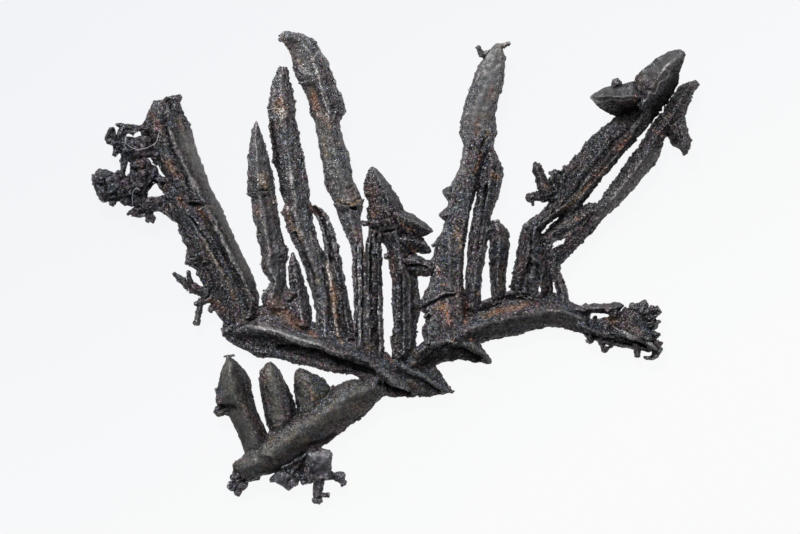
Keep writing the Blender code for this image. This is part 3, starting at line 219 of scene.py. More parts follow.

# Relief, staining and painted light, drawn from above over the pieces: a kind, its width and its
# strength, and then another kind's where one lies on the same line. Ridge, groove and step change the
# height. A step is high on the left of its line as it runs. Shine smooths, and is also painted a lighter
# sheen, as facets that face the light look. Where worn runs, the metal shows bare and highlights are
# painted on ridges and lit flanks. Crust is rough with crystals, ochre and rust colour the metal, and
# soot is painted shade, black in the hollows and on the facets turned from the light.
DRAWING = """
# the left arm
shine .09 1 -13.7,14.2 -13.2,13.35
ridge .26 .05 -14.2,15.9 -13.7,14.3 -12.7,12.5 -12.2,11.5 -11.55,10.35 -10.65,8.5 -9.75,6.8
    -9.05,5.3 -8.55,4.6
worn .1 .3 -14.2,15.9 -13.7,14.3 -12.95,12.95
worn .18 .6 -12.95,12.95 -12.6,12.3 -12.3,11.8
worn .1 .6 -12.3,11.7 -11.55,10.35 -10.65,8.5 -9.75,6.8 -9.05,5.3 -8.6,4.7
shine .75 .8 -13.4,15.6 -12.6,13.9 -11.6,12.2 -10.9,10.6 -10,8.8 -9.3,7.2 -8.8,6.2
worn .9 .34 -13,15.6 -12.2,13.9 -11.3,12.2 -10.5,10.4 -9.6,8.4 -9,6.8
soot .3 .6 -12,10.7 -11.4,9.5 -10.8,8.2 -10.2,6.9 -9.6,5.6
ridge .25 .06 -14.3,12 -13,10.15 -12.2,8.9 -11.1,7 -10.2,5.3
worn .1 .5 -12.7,9.5 -12.2,8.9 -11.6,8 -11.1,7 -10.7,6.3
ochre .3 .5 -12.2,8.8 -11.1,7.1 -10.5,6 -10,5
groove .16 .07 -13.1,10.5 -12.6,9.8 -12,8.95
soot .16 1 -13.1,10.5 -12.6,9.8 -12,8.95 -11.5,8.2 -10.8,6.9
soot .14 .9 -13.9,10.4 -12.9,8.6 -11.9,6.9 -11.1,5.4
soot .12 .8 -11.7,9.6 -11,8.4 -10.2,6.6 -9.6,5.3
step .4 .15 -12.1,11.35 -12.95,11.45
soot .26 1 groove .28 .16 -12.9,11.2 -12.4,11.12 -12,11.1
shine .1 .7 -12.85,11.65 -12.7,11.9 -12.45,11.7
rust .55 .6 -14.4,13.8 -14.1,13.4 -13.8,13.1
rust .3 .7 -13.7,11.6 -13.3,11
rust .3 .8 -12.4,10.9 -12.1,10.5 -11.8,10.3
rust .4 .5 -15.6,17.2 -15.3,16.8 -15,16.4
ochre .4 .45 -14.9,14.4 -14.2,13.5
ochre .4 .35 -13.8,16.8 -13.3,16
ochre .14 .7 -12.4,10.9 -11.9,10.2 -11.6,9.4
soot .45 .6 -15.6,16 -15.3,15.2
soot .3 .5 -13.9,12.7 -13.4,12.2
rust .4 .5 -11.6,4.9 -11.1,4.4 -10.6,4
rust .3 .4 -10.2,5.1 -9.9,4.4
groove .2 .12 -9.7,3 -9.2,3.35 -8.5,3.9
soot .2 .9 -10.3,2.75 -9.2,3.35 -8.5,3.9
ochre .22 .5 -9.6,3.3 -8.9,3.75
crust .7 1 -14.5,18.3 -13.7,18.3
shine .2 .6 -14.1,6.7 -13.5,6.2
shine .2 .6 -12.6,4.6 -12.5,3.4
crust .6 .7 -15.9,17 -15.6,15.4 -14.9,13.6 -14.6,11.8 -14.2,10.6 -13.4,8.6 -12.6,6.8
# the left cluster
crust 3.2 .6 -17.4,16.4 -17.4,10.4
soot .3 1 -17.05,14 -17.05,13.7
rust .4 .5 -16.4,14.2 -16.2,13.5
ochre .3 .5 -16.6,12.6 -16.1,12.2
shine .25 .5 -18.9,13.3 -18.6,13.2
shine .2 .6 -16.9,15.6 -16.1,15.55
# the left stem and its web
ridge .5 .15 -9.7,2.95 -8.97,3.13 -7.47,2.75 -4.85,1.9 -3.45,1.35 -1.1,.4 1.5,-1.08
worn .12 .45 -8.6,3 -7.47,2.75 -6.2,2.3 -4.85,1.95 -4.3,1.75
shine .5 .7 -9.3,3.2 -7.47,2.9 -6.2,2.5 -4.85,2.1 -3.9,1.75
shine .3 .35 -3.6,1.4 -1.1,.4 .2,-.15 1.5,-1
groove .35 .2 -7.1,1.67 -5.7,1.63 -4.3,1.33 -3,.73 -1.7,.33 -.7,.05
soot .4 1.1 -7.1,1.67 -5.7,1.55 -4.3,1.23 -3,.63 -1.7,.23 -.7,-.05
soot .5 .35 -9.7,2.6 -8.2,2.3 -7,2
ridge .2 .1 -7.1,1.85 -6.4,1.85 -5.6,1.72
rust .6 .6 -7.4,4.4 -6.6,3.9 -6,3.3 -5.4,3
ochre .6 .4 -7.3,4 -6.6,3.6 -5.9,3.2
rust .35 1 -5,2.6 -4.6,2.5
soot .3 .6 -6.3,3.9 -5.9,3.6
ochre .25 .8 -3.25,2.6 -3.05,2.2 -2.9,1.9
ochre .3 .6 -1.15,1.9 -1,1.5
rust .25 .7 .1,.9 .5,.7
groove .35 .22 -.3,-.75 .5,-1.15 1.6,-1.45
soot .35 .9 -.3,-.8 .5,-1.2 1.6,-1.5
shine .12 1 1.72,-1.18 1.85,-1.3
# fingers 1 and 2
shine 1.2 .5 -8.5,15.8 -8.2,12 -7.7,8 -7.2,5
shine .9 .7 -8.55,16.2 -8.45,14.8 -8.35,13.6
shine .6 .6 -7.7,11 -7.4,9 -7.2,6.5
ochre .4 1 -8.2,13.1 -8.1,12.3
worn .2 .8 -8.3,13.1 -8.1,12.6
ochre .3 .35 -7.8,12.6 -7.8,12
step .4 .16 -7.95,12.05 -9.1,12
soot .25 .7 -8.7,12.7 -8.5,12 -9,11.9
rust .25 .5 -8.5,11.3 -8.4,10.3
ridge .3 .06 -8.3,11.6 -8,10.2 -7.8,8.2 -7.7,6.3
soot .3 .45 -8.3,10 -8.1,8.6 -8,7.2
soot .16 .9 -7.3,12.1 -7,9.9 -6.5,7.4 -6.5,5.6
rust .35 .5 -7.8,4.6 -7.2,4.2
ochre .3 .6 -6.4,5.2 -6.1,4.9
groove .2 .15 -6.4,4.7 -5.9,5.1
shine .2 .4 -5.9,6.6 -5.5,4.7 -5.1,3.6
# finger 3
shine 1.2 .42 -6.7,20 -6.8,16 -6.2,12 -5.4,8 -4.4,4
soot .3 .9 -6.35,20.3 -6.3,19.2
ochre .6 1 -7.15,17.7 -6.75,17.35
rust .35 .7 -7.1,18.1 -6.9,17.8
worn .25 .8 -6.9,17.5 -6.6,17.4 -6.7,17.1
shine .4 .3 -7.4,19.2 -7.45,18.2
step .4 .12 -6.2,17.6 -6.6,17.75 -6.95,17.95
groove .3 .1 -7.55,16.6 -7.35,15.2 -7.2,13.9
soot .42 1 -7.55,16.6 -7.35,15.2 -7.2,13.9 -6.9,12.9 -6.75,11.8
shine .5 .35 -6.4,16 -6.2,14.6 -6,13.2
worn .3 .4 -6.3,13.4 -6.2,12.9
ridge .4 .13 -6.3,12.9 -5.95,10.8 -5.8,9.3 -5.2,7.4
rust .4 .6 -6.6,10.8 -6.3,10
groove .28 .24 -6,9.2 -5.95,9
soot .25 1 -6,9.2 -5.9,8.9
ochre .35 .6 -6.1,9.6 -5.6,9.2 -5.5,8.7
soot .2 .7 -5.8,12.6 -5.4,12.2
groove .25 .14 -5.6,8.6 -5.2,7.4 -4.8,6.2
soot .28 .7 -5.6,8.6 -5.2,7.4 -4.8,6.2 -4.5,5
shine .14 .7 -5.3,9.3 -4.7,8.3 -4.1,7.3
ochre .2 .6 -4.75,6.3 -4.5,6.1
soot .12 .9 -4.4,6.85 -4,7.05 -3.7,7.25
# finger 4
rust .4 .6 -4.95,11.1 -4.7,10.7
ridge .35 .08 -3.75,7 -3.5,5.5 -3.3,4 -3.1,2.3
ochre .45 1 -3.75,7.2 -3.5,5.5 -3.4,4.6
worn .3 .6 -3.75,7.2 -3.6,6
ochre .26 .8 -3.4,4.6 -3.3,4 -3.15,2.5
rust .2 1 -3.6,6 -3.45,5.3 -3.3,3.6
groove .15 .1 soot .2 .8 -4.1,6.9 -3.85,5.2 -3.6,2.8
groove .18 .12 soot .24 .8 -3.1,6.9 -2.85,5 -2.65,2.4
# finger 5
shine 1.3 .5 -6,21.9 -4.9,19.8 -4.1,16.5 -3.2,13.5 -2.4,10.4
shine .5 .35 -6,21.9 -4.9,21.4
ochre .3 .5 -5.8,20.7 -5.5,20.4
step .4 .14 -4.95,19.45 -5.85,19.35
soot .2 .95 -5.6,19.15 -5.1,19.15
worn .3 .25 -5.4,20.1 -5,19.6 -4.9,19.4
ridge .3 .07 -4.78,20.8 -4.35,19.4 -4.1,18.4 -3.89,17.7 -3.6,16.6
worn .1 .6 -4.78,20.8 -4.35,19.4 -4.1,18.4 -3.89,17.7
worn 1 .14 -5.6,21.3 -5.2,20 -4.9,19.6
worn .7 .16 -4.4,17.2 -4,15.5 -3.4,13.5 -2.8,11.8
worn .1 .5 -4.78,20.8 -4.3,21.5 -4.1,21.1
soot .2 .5 -4.1,20 -3.6,19.4 -3.7,18.6
ochre .45 .5 -4.95,19 -4.65,18.4
rust .36 1.3 -4.75,18.3 -4.5,17.4
rust .3 .6 -4.3,17.1 -3.9,16.3
ochre .3 .7 -4.15,15.6 -3.9,14.3
ochre .3 .4 -4,17.4 -3.7,16.4
soot .5 .6 -3.2,17.9 -2.95,17.1
worn .12 .8 -3.5,16.9 -3.2,17.4
soot .35 .5 -3.2,12.9 -2.9,12.2
step .45 .2 -1.6,11.5 -2.3,11.1 -3.2,11.3
ochre .28 .85 -3.1,11.45 -2.5,11.25 -1.8,11.3
soot .16 1 groove .2 .22 -2.2,10.95 -1.95,10.95
# the rib pair
ridge .16 .12 -1.65,9.2 -1.68,1.6
ridge .16 .12 -1.2,9.3 -1.25,1.6
ridge .16 .12 -.78,9.4 -.8,1.4
ridge .16 .12 -.3,9.6 -.3,1.3
groove .15 .2 soot .14 .9 -1.9,8.6 -1.92,2.4
groove .15 .2 -1.45,9 -1.47,1.8
groove .15 .24 -.98,9.2 -1.02,1.8
groove .15 .2 -.55,9.2 -.6,1.8
soot .14 .9 -1.47,7.6 -1.47,1.8
soot .14 .9 -.98,7 -1.02,1.8
soot .14 .7 -.55,9 -.6,1.8
shine .1 .9 -1.15,8.2 -1.17,5.6 -1.22,3.4
shine .1 .7 -.78,9.3 -.78,7
rust .2 .8 -1.36,9.4 -1.34,8
ochre .2 .7 -1.36,9.4 -1.3,7.6
# the centre crystal
shine .42 .75 -.75,13.45 -.2,12.7 .4,11.9 .95,11.2 1.4,10.7 2.2,10.1 3.1,9.5
rust .6 .4 -.9,12 -.6,11.2 -.7,10.6
ochre .25 .8 -.8,10.4 -.5,10.6
rust .14 1 .05,10.1 .15,10
soot .12 1 groove .2 .16 0,9.35 .3,9.4 .6,9.5
shine .1 .8 -.6,9.3 0,9.6 .6,9.8
rust .22 .9 1.2,9.95 1.4,9.6 1.9,9.4
soot .3 .7 1,9.3 1.6,8.95 2.3,8.95
rust .2 1 1.6,8.5 1.8,8.3 2.4,7.95
ochre .16 .9 1.9,8.2 2.1,7.9
soot .2 .8 1.5,7.9 2.2,7.7
ridge .14 .1 shine .1 .9 2.6,7.3 3.3,6.7
groove .2 .22 1.7,7.05 2.2,7.05 2.7,7.05
soot .2 1 1.65,7.05 2.2,7.05 2.75,7.05
rust .2 .8 1.9,6.55 2.5,6.45
ridge .2 .1 1,7.2 1.6,6.2 1.6,4 1.55,1.6
shine .1 .7 1,7.2 1.3,6.7 1.6,6.2
shine .3 .5 1.6,5.8 1.6,3.8 1.6,1.7
groove .24 .14 soot .26 .8 1,6.4 1.02,4.2 1,1.6
rust .3 .4 .5,8 .5,6
ochre .3 .5 1.7,1.6 2.1,1.2
# finger 6
shine 1.6 1 7.3,21.6 7,19.9 6.5,18 6.1,17
shine .9 .8 5.9,17 5.6,16
shine .35 .6 5.4,15.6 5.3,14.6 5,13.4
rust .35 .3 7.1,18.8 6.9,18.2
rust .35 .4 6.2,16.8 6.1,15.9
soot .3 .5 6.3,17 6.1,16.2 6,15.6
ochre .3 .5 6.9,16 6.5,15.2
rust .25 .7 6.4,14.6 6.1,13.4
groove .22 .06 6.6,15.5 6.2,14.2 6,13
soot .2 .35 6.7,15.4 6.35,14.2 6.1,12.8
soot .6 .35 5.3,11.9 4.9,10.4
ochre .22 .9 4.8,9.6 4.95,9 5.1,8.2
ridge .24 .09 shine .16 .8 4.3,9.2 4.3,7.4 4.3,5.6
rust .18 .9 3.8,5.8 4.1,5.8
rust .16 .8 3.6,6.6 3.6,6.4
shine .14 .8 3.1,5.1 3.25,5.2 3.4,5.1
ridge .14 .11 2.6,4.5 3.3,4.9 4,5.2 4.6,5.3
groove .25 .12 2.6,4.3 3.3,4.7 4,5 4.6,5.1
soot .3 .8 2.6,4.3 3.3,4.65 4,4.9 4.7,5
soot .9 .35 3.9,9 4.1,7.4 4.2,5.6
rust .45 .8 3.9,4.5 4.1,3.9 4.3,3.4
ochre .3 .6 3.5,4.5 4.1,4.2
ochre .25 .6 5.3,8.2 5.2,6.8 5.2,5.4
ochre .2 .6 3.2,4.2 3.7,4.4
rust .24 .9 5.4,4.8 5.4,4 5.35,3.2
shine .7 .3 3.8,3.3 4.3,3
# fingers 7 and 8
rust .3 .9 7.15,13.15 7.4,12.9
ochre .3 .6 7.2,13.3 7.4,13
groove .22 .2 soot .22 .9 6.7,12.4 6.5,10.4 6.1,8 5.8,6
shine .13 .6 6.95,11.9 6.7,9.9 6.4,7.6 6.2,6.2
shine .13 .6 5.9,7 5.75,6
ochre .2 .8 6.2,5.3 6.2,5.1
soot .12 .9 6.9,7.05 7.25,7.5 7.8,7.55
shine .4 .4 7.5,9.6 7.7,8.6
ochre .22 .8 7.75,7 7.75,5.6
# the right stem and its two points
ridge .3 .08 5.3,2.6 5.65,2.84 8.1,3.6 10.7,4.05 11.8,4.05 12.76,3.7 13.3,3.2
worn .14 .35 5.65,2.84 8.1,3.6 9.6,3.95 10.9,4.1 11.9,4.02 12.76,3.7 13.2,3.3
shine .7 .6 6.5,2.6 8.5,3.2 10.5,3.6 12.4,3.4
groove .28 .3 6.4,4.24 7.2,4.6 7.9,4.9 8.7,5.05 9.5,5
soot .2 1 6.4,4.28 7.2,4.64 7.9,4.92 8.7,5.07 9.5,5.02
shine .14 .5 6.8,4.65 7.5,5 8.2,5.25
ochre .36 .6 6.5,3.7 7.6,4.1 8.6,4.35 9.6,4.65
rust .26 .9 6.9,3.85 8.4,4.2 9.4,4.5
rust .2 .6 10,4.6 10.15,4.3
soot .5 .5 6.2,2.3 8.5,2.75 10.4,3.1 11.8,3.1 12.8,2.6
soot .2 .6 10.9,3.9 11,3.2
ridge .4 .18 4.9,2.3 5.47,2.1 6.2,1.34 6.96,.66
shine .13 .7 5.6,2 6.2,1.34 6.9,.72
groove .4 .34 6.3,.95 5.3,1.43 4.15,1.65 3.2,1.4 2.3,.95
soot .8 1.8 6.2,.8 5.5,1.15 4.7,1.4 3.9,1.45 3.1,1.25 2.5,.9
worn .12 .4 6.6,1.2 5.8,1.75 4.8,2.05 3.9,2.1 3,1.85 2.3,1.4
rust .22 .9 4.5,2.15 4.7,2.05
rust .25 .9 5.5,2.35 5.8,2.2
rust .25 .6 1.9,.55 2.3,.45
ridge .35 .16 1.1,.4 2.5,-.25 3.9,-1.2
shine .14 .7 1.2,.35 2,-.05 3,-.55 3.8,-1.15
groove .35 .24 .6,.2 1.5,-.25 2.6,-.75 3.6,-1.25
soot .32 .8 .6,.15 1.5,-.3 2.6,-.8 3.5,-1.25
ochre .3 .4 1.6,-.6 2.4,-1.1
# the right fork
ridge .2 .12 shine .1 .9 9.55,7.85 9.95,7.5 10.4,7.1
soot .16 .9 9.5,7.5 9.85,7.2 10.2,6.9
ridge .2 .1 shine .12 .8 9.9,6.9 9.8,6.4 9.7,6
groove .3 .16 9.6,7.1 9.2,6.2 9,5.4
soot .3 .7 9.6,7.1 9.2,6.2
rust .25 .5 9.1,7.5 9,6.9
rust .2 .8 10.4,7.8 10.4,7.6
shine .12 .5 9.6,8.3 9.75,8.4 9.9,8.25
shine .12 .6 11.1,8.2 11.2,7.8
# the right upper arm
ridge .3 .1 12.1,10.6 12.7,11.2 13.3,12 14.1,13 15.5,14.7 16.6,16.3 17.6,17.3
worn .1 .7 12.1,10.6 12.7,11.2 13.3,12 14.1,13 15.5,14.7
worn .1 .7 12.3,11.5 13,12.3 13.6,13
soot .3 .7 12,11.2 12.7,12 13.5,13.1 14.6,14.3 15.7,15.6 16.8,16.9
ochre .25 1 12,10.9 12.6,11.5 13.2,12.2
rust .3 1.2 13.2,12 13.8,12.7 14.6,13.6
worn .1 .6 13.5,12.3 14.2,13.1
rust .3 1.2 15.4,14.8 15.8,15.3 16.2,15.7
ochre .3 .4 15.5,16.5 15.9,16.7
shine .14 .6 14.7,13.9 15.3,14.6
ochre .3 .6 10.7,12.5 11,12.2
shine .3 .5 10.1,13.6 10.3,13
shine .16 .6 11.4,13.1 11.8,13.5
crust 1.1 .5 10,13.4 10.2,11.8 11.6,12.2 12.2,13.2
crust .8 .35 11.6,12.4 12.8,13.6 13.8,14.8 14.8,16.2 15.8,17.2
crust .5 .7 10.2,7.8 10,6.6 9.9,5.4
# the right lower arm
crust .5 .6 19,16.6 19.8,15.6 20.1,14.9
crust .5 .5 11.6,8.2 11.2,7.2 11.6,5.8
ochre .25 .5 11.6,9.9 12.3,9.9 12.9,10.3
rust .18 .9 12.7,10.4 12.9,10.2
rust .18 .8 12.1,9.3 12.3,9.1
soot .3 .6 11.3,9 12.2,9.4 13,9.9 14.2,11 15.4,12.5 16.6,14.2
groove .3 .14 11.3,9.1 12.2,9.4 13,9.9
shine .1 .8 16.3,13.6 16.95,14.2
shine 1 .3 14.2,10.6 15.6,12 16.6,13.1 17.6,14.3
worn .9 .26 14.4,10.4 15.8,11.8 17,13.2 18,14.2
crust .45 .6 13.6,9.4 15,10.7 16.4,12.1 17.8,13.6
rust .35 .6 17.8,16.2 18.3,15.9 18.8,15.8
ochre .25 .6 18.3,16.7 18.9,17.1 19,17.3
rust .2 .6 17.4,16.9 17.2,16.6
shine .6 .25 19.2,17.7 19.8,18.5
shine .2 1 20.5,19.2 20.8,19.25
shine .2 .8 19.3,16.6 19.9,15.8 20.25,15.1
soot .35 .9 18.8,16.3 19.2,15.6 19.6,14.9
# the head crystal
shine .55 1 14.2,18.7 15.4,18.72 16.4,18.7
shine .3 .8 14,18.35 15.4,18.35 16.4,18.3
worn .1 .9 13.7,18.25 14.3,18.05 15.3,18.1 16.4,18.15
soot 1.1 1.4 14.3,17.3 15.4,17.1 16.6,17.1
rust .2 1 16.6,18.35 16.7,18.15
shine .8 1 19.2,21 18.4,20.4 17.4,19.6
shine .5 .6 17.2,19.3 16.8,18.8
worn .1 1 19.65,21.15 19.05,20.6 18.45,20.05
worn .08 1 ridge .1 .05 18.45,20.05 18.8,20.05 18.75,19.7 18.5,19.45 18.1,19.2 18.05,18.75
    17.9,18.55 17.5,18.55 17.45,18.2 17.2,17.95
soot .9 1.4 20.1,20.8 19.6,19.8 19.1,18.9 18.6,18 18,17.2
shine .3 .6 15.2,19.3 15.6,19.3
# the tuft
crust 1.6 .6 14,2.6 16,2.6 17.8,2.4 18,3.8
rust .26 1 15,3.5 15.2,3.3
ochre .35 .8 14.9,3.6 15.3,3.5
ridge .2 .2 15.2,3 15.6,2.6 16.3,2.4 17,2.15 17.6,1.9 18,1.6
worn .11 1 15.5,2.7 16.3,2.4 17,2.15 17.6,1.9 17.95,1.6
groove .2 .12 soot .2 .8 15,2.5 16.2,2.15 17.4,1.75
shine .4 .5 14.6,2.1 15.6,1.8 16.8,1.5
groove .35 .3 17.65,1.35 17.75,1.25
soot .35 1 17.6,1.35 17.8,1.2
soot .5 .6 16.6,3.3 17.4,3.2
ochre .3 .4 16.2,2.8 16.6,2.7
shine .3 .3 14.6,4.3 15.4,4.35
# the lower stem
shine 1.5 .65 -1.5,-1.4 -3.2,-2.5 -5,-3.7 -6.8,-4.9 -9.2,-6.2
shine .4 .45 -5,-2.8 -5.7,-3.3 -6.3,-3.9
shine .2 .6 -6.35,-4.2 -6.3,-5
shine .16 .4 -2.05,-1.17 -3.17,-1.92 -4.57,-2.67
ochre .22 .8 -7.6,-4.55 -7.4,-4.45
ochre .3 .6 -2,-2.3 -1.6,-2.5
groove .3 .12 soot .28 .8 -3.4,-4.2 -4.2,-4.6 -5,-4.9
soot .3 .7 -1,-2.5 -2.2,-3.6 -3.2,-4.6
soot .3 .9 -5.5,-5.3 -5.7,-6.6 -6.3,-6.2
soot .3 .8 -7,-6.3 -7.8,-6.6 -8.5,-6.8
shine .14 .9 -2.2,-3.1 -2.3,-3.3 -2.6,-3.4
ridge .2 .1 shine .09 .7 -8.3,-5.5 -7.6,-5.5 -7.2,-6
shine .14 .6 -9.9,-6.5 -9.3,-6.9 -8.5,-6.95
# the spears
ridge .4 .11 -10.2,.6 -10.47,-.6 -10.65,-1.45 -10.9,-2
shine .22 .75 -10.35,.1 -10.4,-.4 -10.5,-1.3
shine 1.1 .7 -10.2,.6 -10.2,-1.6 -9.6,-3.6 -9,-4.8
shine .9 .7 -7.6,.2 -7.4,-1.6 -7.2,-3
shine .9 .6 -5.4,-.4 -5.2,-1.8
shine .1 .8 -9.95,-1.9 -9.6,-2.7 -9.2,-3.4
groove .4 .24 soot .4 1 -10.9,-2.4 -10.1,-2.4
soot .35 .5 -9.9,.2 -9.5,-1 -9.2,-2.2
soot .35 .7 -9.6,-3.6 -9.4,-4.6
ochre .12 1 -9.35,-1.7 -9.28,-1.75
shine .5 .4 -7.9,.2 -7.8,-.9
shine .16 .8 -7.45,-.85 -7.35,-1
shine .16 .8 -7.4,-2.2 -7.3,-2.8
soot .25 .8 -8.3,-.8 -7.9,-2.6 -7.4,-3.8
soot .2 .9 -6.6,-.6 -6.25,-2 -6.15,-3
soot .3 .8 -6.7,-3.4 -6.2,-3.4
soot .3 .6 -5.9,-.8 -5.9,-2.2
rust .22 .7 -5,-1 -4.7,-1.7 -4.5,-2.2
ochre .2 .6 -4.7,-1.6 -3.9,-1.5
shine .09 .9 -3.75,-1.7 -3.65,-1.2
# the lumps and the cube-like crystal
crust 1.5 .5 -10.2,-7.4 -9.4,-7.4
crust .5 .4 -5.6,-7.4 -5.2,-7.6
crust .5 .4 -3.2,-7 -2.8,-7.2
shine .9 1 -4.9,-5.7 -4,-5.7 -4.2,-6.6
shine .7 .7 -7.4,-6.8 -6.4,-7.2
shine .6 .6 -4.5,-8 -4.6,-8.6
shine .5 .6 -3.2,-7.1 -2.3,-7.1
worn .1 .5 -5,-5.5 -4.4,-5.3 -3.7,-5.3
soot .3 .8 -5.6,-5.6 -5.8,-6.4
soot .16 .8 -4.95,-6.3 -4.6,-6.9
"""


def read_rows(table):
    """The words of each row of a table, and its points."""
    for row in table.replace("\n    ", " ").splitlines():
        if row and not row.startswith("#"):
            words = [word for word in row.split() if "," not in word]
            points = [word.split(",") for word in row.split() if "," in word]
            yield words, np.array(points, float)


PLATES = [(name, float(under), float(top), outline)
          for (name, under, top), outline in read_rows(GROWTH)]
SLITS = list(read_rows(GAPS))
LINT = [line for _, line in read_rows(FIBRES)]
STROKES = [(words[k], float(words[k + 1]), float(words[k + 2]), line)
           for words, line in read_rows(DRAWING) for k in range(0, len(words), 3)]


# ---------------------------------------------------------------------------------------------
# Noise on arrays of points, in millimetres

def hashed(cells, seed):
    """A repeatable number from 0 to 1 for each whole-numbered cell."""
    mixed = cells[:, 0] * 73856093 ^ cells[:, 1] * 19349663 ^ cells[:, 2] * 83492791 ^ seed * 2654435761
    mixed = (mixed ^ (mixed >> 13)) * 1274126177
    mixed = (mixed ^ (mixed >> 15)) * 668265263
    return ((mixed ^ (mixed >> 16)) & 0xFFFFFF) / 0xFFFFFF


def value_noise(points, seed):
    """Smooth noise from -1 to 1 with features one unit wide."""
    cells = np.floor(points).astype(np.int64)
    part = points - cells
    part = part * part * part * (part * (part * 6 - 15) + 10)
    total = np.zeros(len(points))
    for corner in range(8):
        step = np.array([corner & 1, corner >> 1 & 1, corner >> 2 & 1])
        weight = np.prod(np.where(step, part, 1 - part), axis=1)
        total += weight * hashed(cells + step, seed)
    return total * 2 - 1


def fractal(points, octaves, seed, gain=.5):
    """Several octaves of value noise, about -1 to 1."""
    total, strength, reach = np.zeros(len(points)), 1.0, 0.0
    for octave in range(octaves):
        total += strength * value_noise(points + 17.3 * octave, seed + octave)
        reach += strength
        strength *= gain
        points = points * 2.03
    return total / reach * 1.6


def seeded_cells(points, seed):
    """For the 27 cells at each point: a chance from -.5 to .5 a side, and the way to its seed."""
    cells = np.floor(points).astype(np.int64)
    for corner in range(27):
        cell = cells + np.array([corner % 3 - 1, corner // 3 % 3 - 1, corner // 9 - 1])
        chance = np.stack([hashed(cell, seed + k) for k in range(3)], 1) - .5
        yield chance, points - (cell + .5 + .8 * chance)


def granules(points, seed):
    """Rounded grains one cell wide: 1 at a grain's centre and 0 between grains."""
    nearest = np.full(len(points), 9.0)
    for _, offset in seeded_cells(points, seed):
        nearest = np.minimum(nearest, (offset ** 2).sum(1))
    return np.clip(1 - np.sqrt(nearest) / .75, 0, 1)


def shards(points, seed):
    """Slanted facets one cell wide that meet in steps, from about -1 to 1."""
    nearest, height = np.full(len(points), 9.0), np.zeros(len(points))
    for chance, offset in seeded_cells(points, seed):
        gap = (offset ** 2).sum(1)
        slant = chance[:, 2] + 2.4 * (offset * chance[:, (1, 2, 0)]).sum(1)
        height = np.where(gap < nearest, slant, height)
        nearest = np.minimum(nearest, gap)
    return height


def smoothstep(low, high, values):
    share = np.clip((values - low) / (high - low), 0, 1)
    return share * share * (3 - 2 * share)


def to_line(points, line):
    """How far each point is from a line on the plan, along the line, and to the left of it."""
    gap = np.full(len(points), 1e9)
    along, aside, start = np.zeros(len(points)), np.zeros(len(points)), 0.0
    for first, second in zip(line[:-1], line[1:]):
        run = second - first
        length = np.linalg.norm(run)
        run = run / length
        offset = points[:, :2] - first
        share = np.clip(offset @ run, 0, length)
        here = np.linalg.norm(offset - share[:, None] * run, axis=1)
        nearer = here < gap
        gap = np.where(nearer, here, gap)
        along = np.where(nearer, start + offset @ run, along)
        aside = np.where(nearer, offset @ np.array([-run[1], run[0]]), aside)
        start += length
    return gap, along, aside


# ---------------------------------------------------------------------------------------------
# Meshes and objects

def add_object(name, data):
    thing = bpy.data.objects.new(name, data)
    bpy.context.scene.collection.objects.link(thing)
    return thing


def finished(form, name):
    """The form as a mesh. The form is used up."""
    mesh = bpy.data.meshes.new(name)
    form.to_mesh(mesh)
    form.free()
    return mesh


def evaluated(thing):
    """The mesh that an object's modifiers or its curve come to."""
    graph = bpy.context.evaluated_depsgraph_get()
    return bpy.data.meshes.new_from_object(thing.evaluated_get(graph))


def apply_modifiers(piece):
    mesh = evaluated(piece)
    piece.modifiers.clear()
    piece.data = mesh


def fetched(elements, key, width, kind=np.float32):
    """One attribute of all the elements, as an array with a row for each."""
    values = np.zeros(len(elements) * width, kind)
    elements.foreach_get(key, values)
    return values.reshape(-1, width)


def points_of(mesh):
    return fetched(mesh.vertices, "co", 3).astype(float)


def normals_of(mesh):
    return fetched(mesh.vertex_normals, "vector", 3).astype(float)


def edges_of(mesh):
    return fetched(mesh.edges, "vertices", 2, np.int32)


def place(mesh, points):
    mesh.vertices.foreach_set("co", points.ravel())
    mesh.update()


def averaged(values, edges, rounds):
    """Each value replaced by the mean of its neighbours' values, several times."""
    ends = np.concatenate([edges[:, 0], edges[:, 1]])
    others = np.concatenate([edges[:, 1], edges[:, 0]])
    count = np.maximum(np.bincount(ends, minlength=len(values)), 1)
    for _ in range(rounds):
        values = np.stack([np.bincount(ends, weights=column[others], minlength=len(values)) / count
                           for column in values.T], 1)
    return values


def store(piece, name, values):
    """Keeps three or four values for each point of a piece, for its material."""
    kind, key = {3: ("FLOAT_VECTOR", "vector"), 4: ("FLOAT_COLOR", "color")}[len(values)]
    attribute = piece.data.attributes.new(name, kind, "POINT")
    attribute.data.foreach_set(key, np.stack(values, 1).astype(np.float32).ravel())


# ---------------------------------------------------------------------------------------------
# Growing a fine skin over a solid

def solid_form(name):
    """The CAD node as a bmesh in millimetres."""
    form = bmesh.new()
    form.from_mesh(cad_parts[name].data)
    bmesh.ops.scale(form, vec=(1 / MM,) * 3, verts=form.verts)
    bmesh.ops.remove_doubles(form, verts=form.verts, dist=.0005)
    return form


def close_forks(form, name, trees):
    """Moves the faces that were cut at a fork on into the neighbour, so that no gap shows."""
    for vert in form.verts:
        spots = [tree.find_nearest(vert.co, FORK_REACH)[0] for other, tree in trees.items()
                 if other != name]
        spots = [spot for spot in spots if spot is not None]
        if spots:
            spot = min(spots, key=lambda found: (found - vert.co).length)
            gap = spot - vert.co
            if gap.length > 1e-6:
                vert.co = spot + gap.normalized() * FORK_BITE
            vert.co.z = max(vert.co.z, 0)


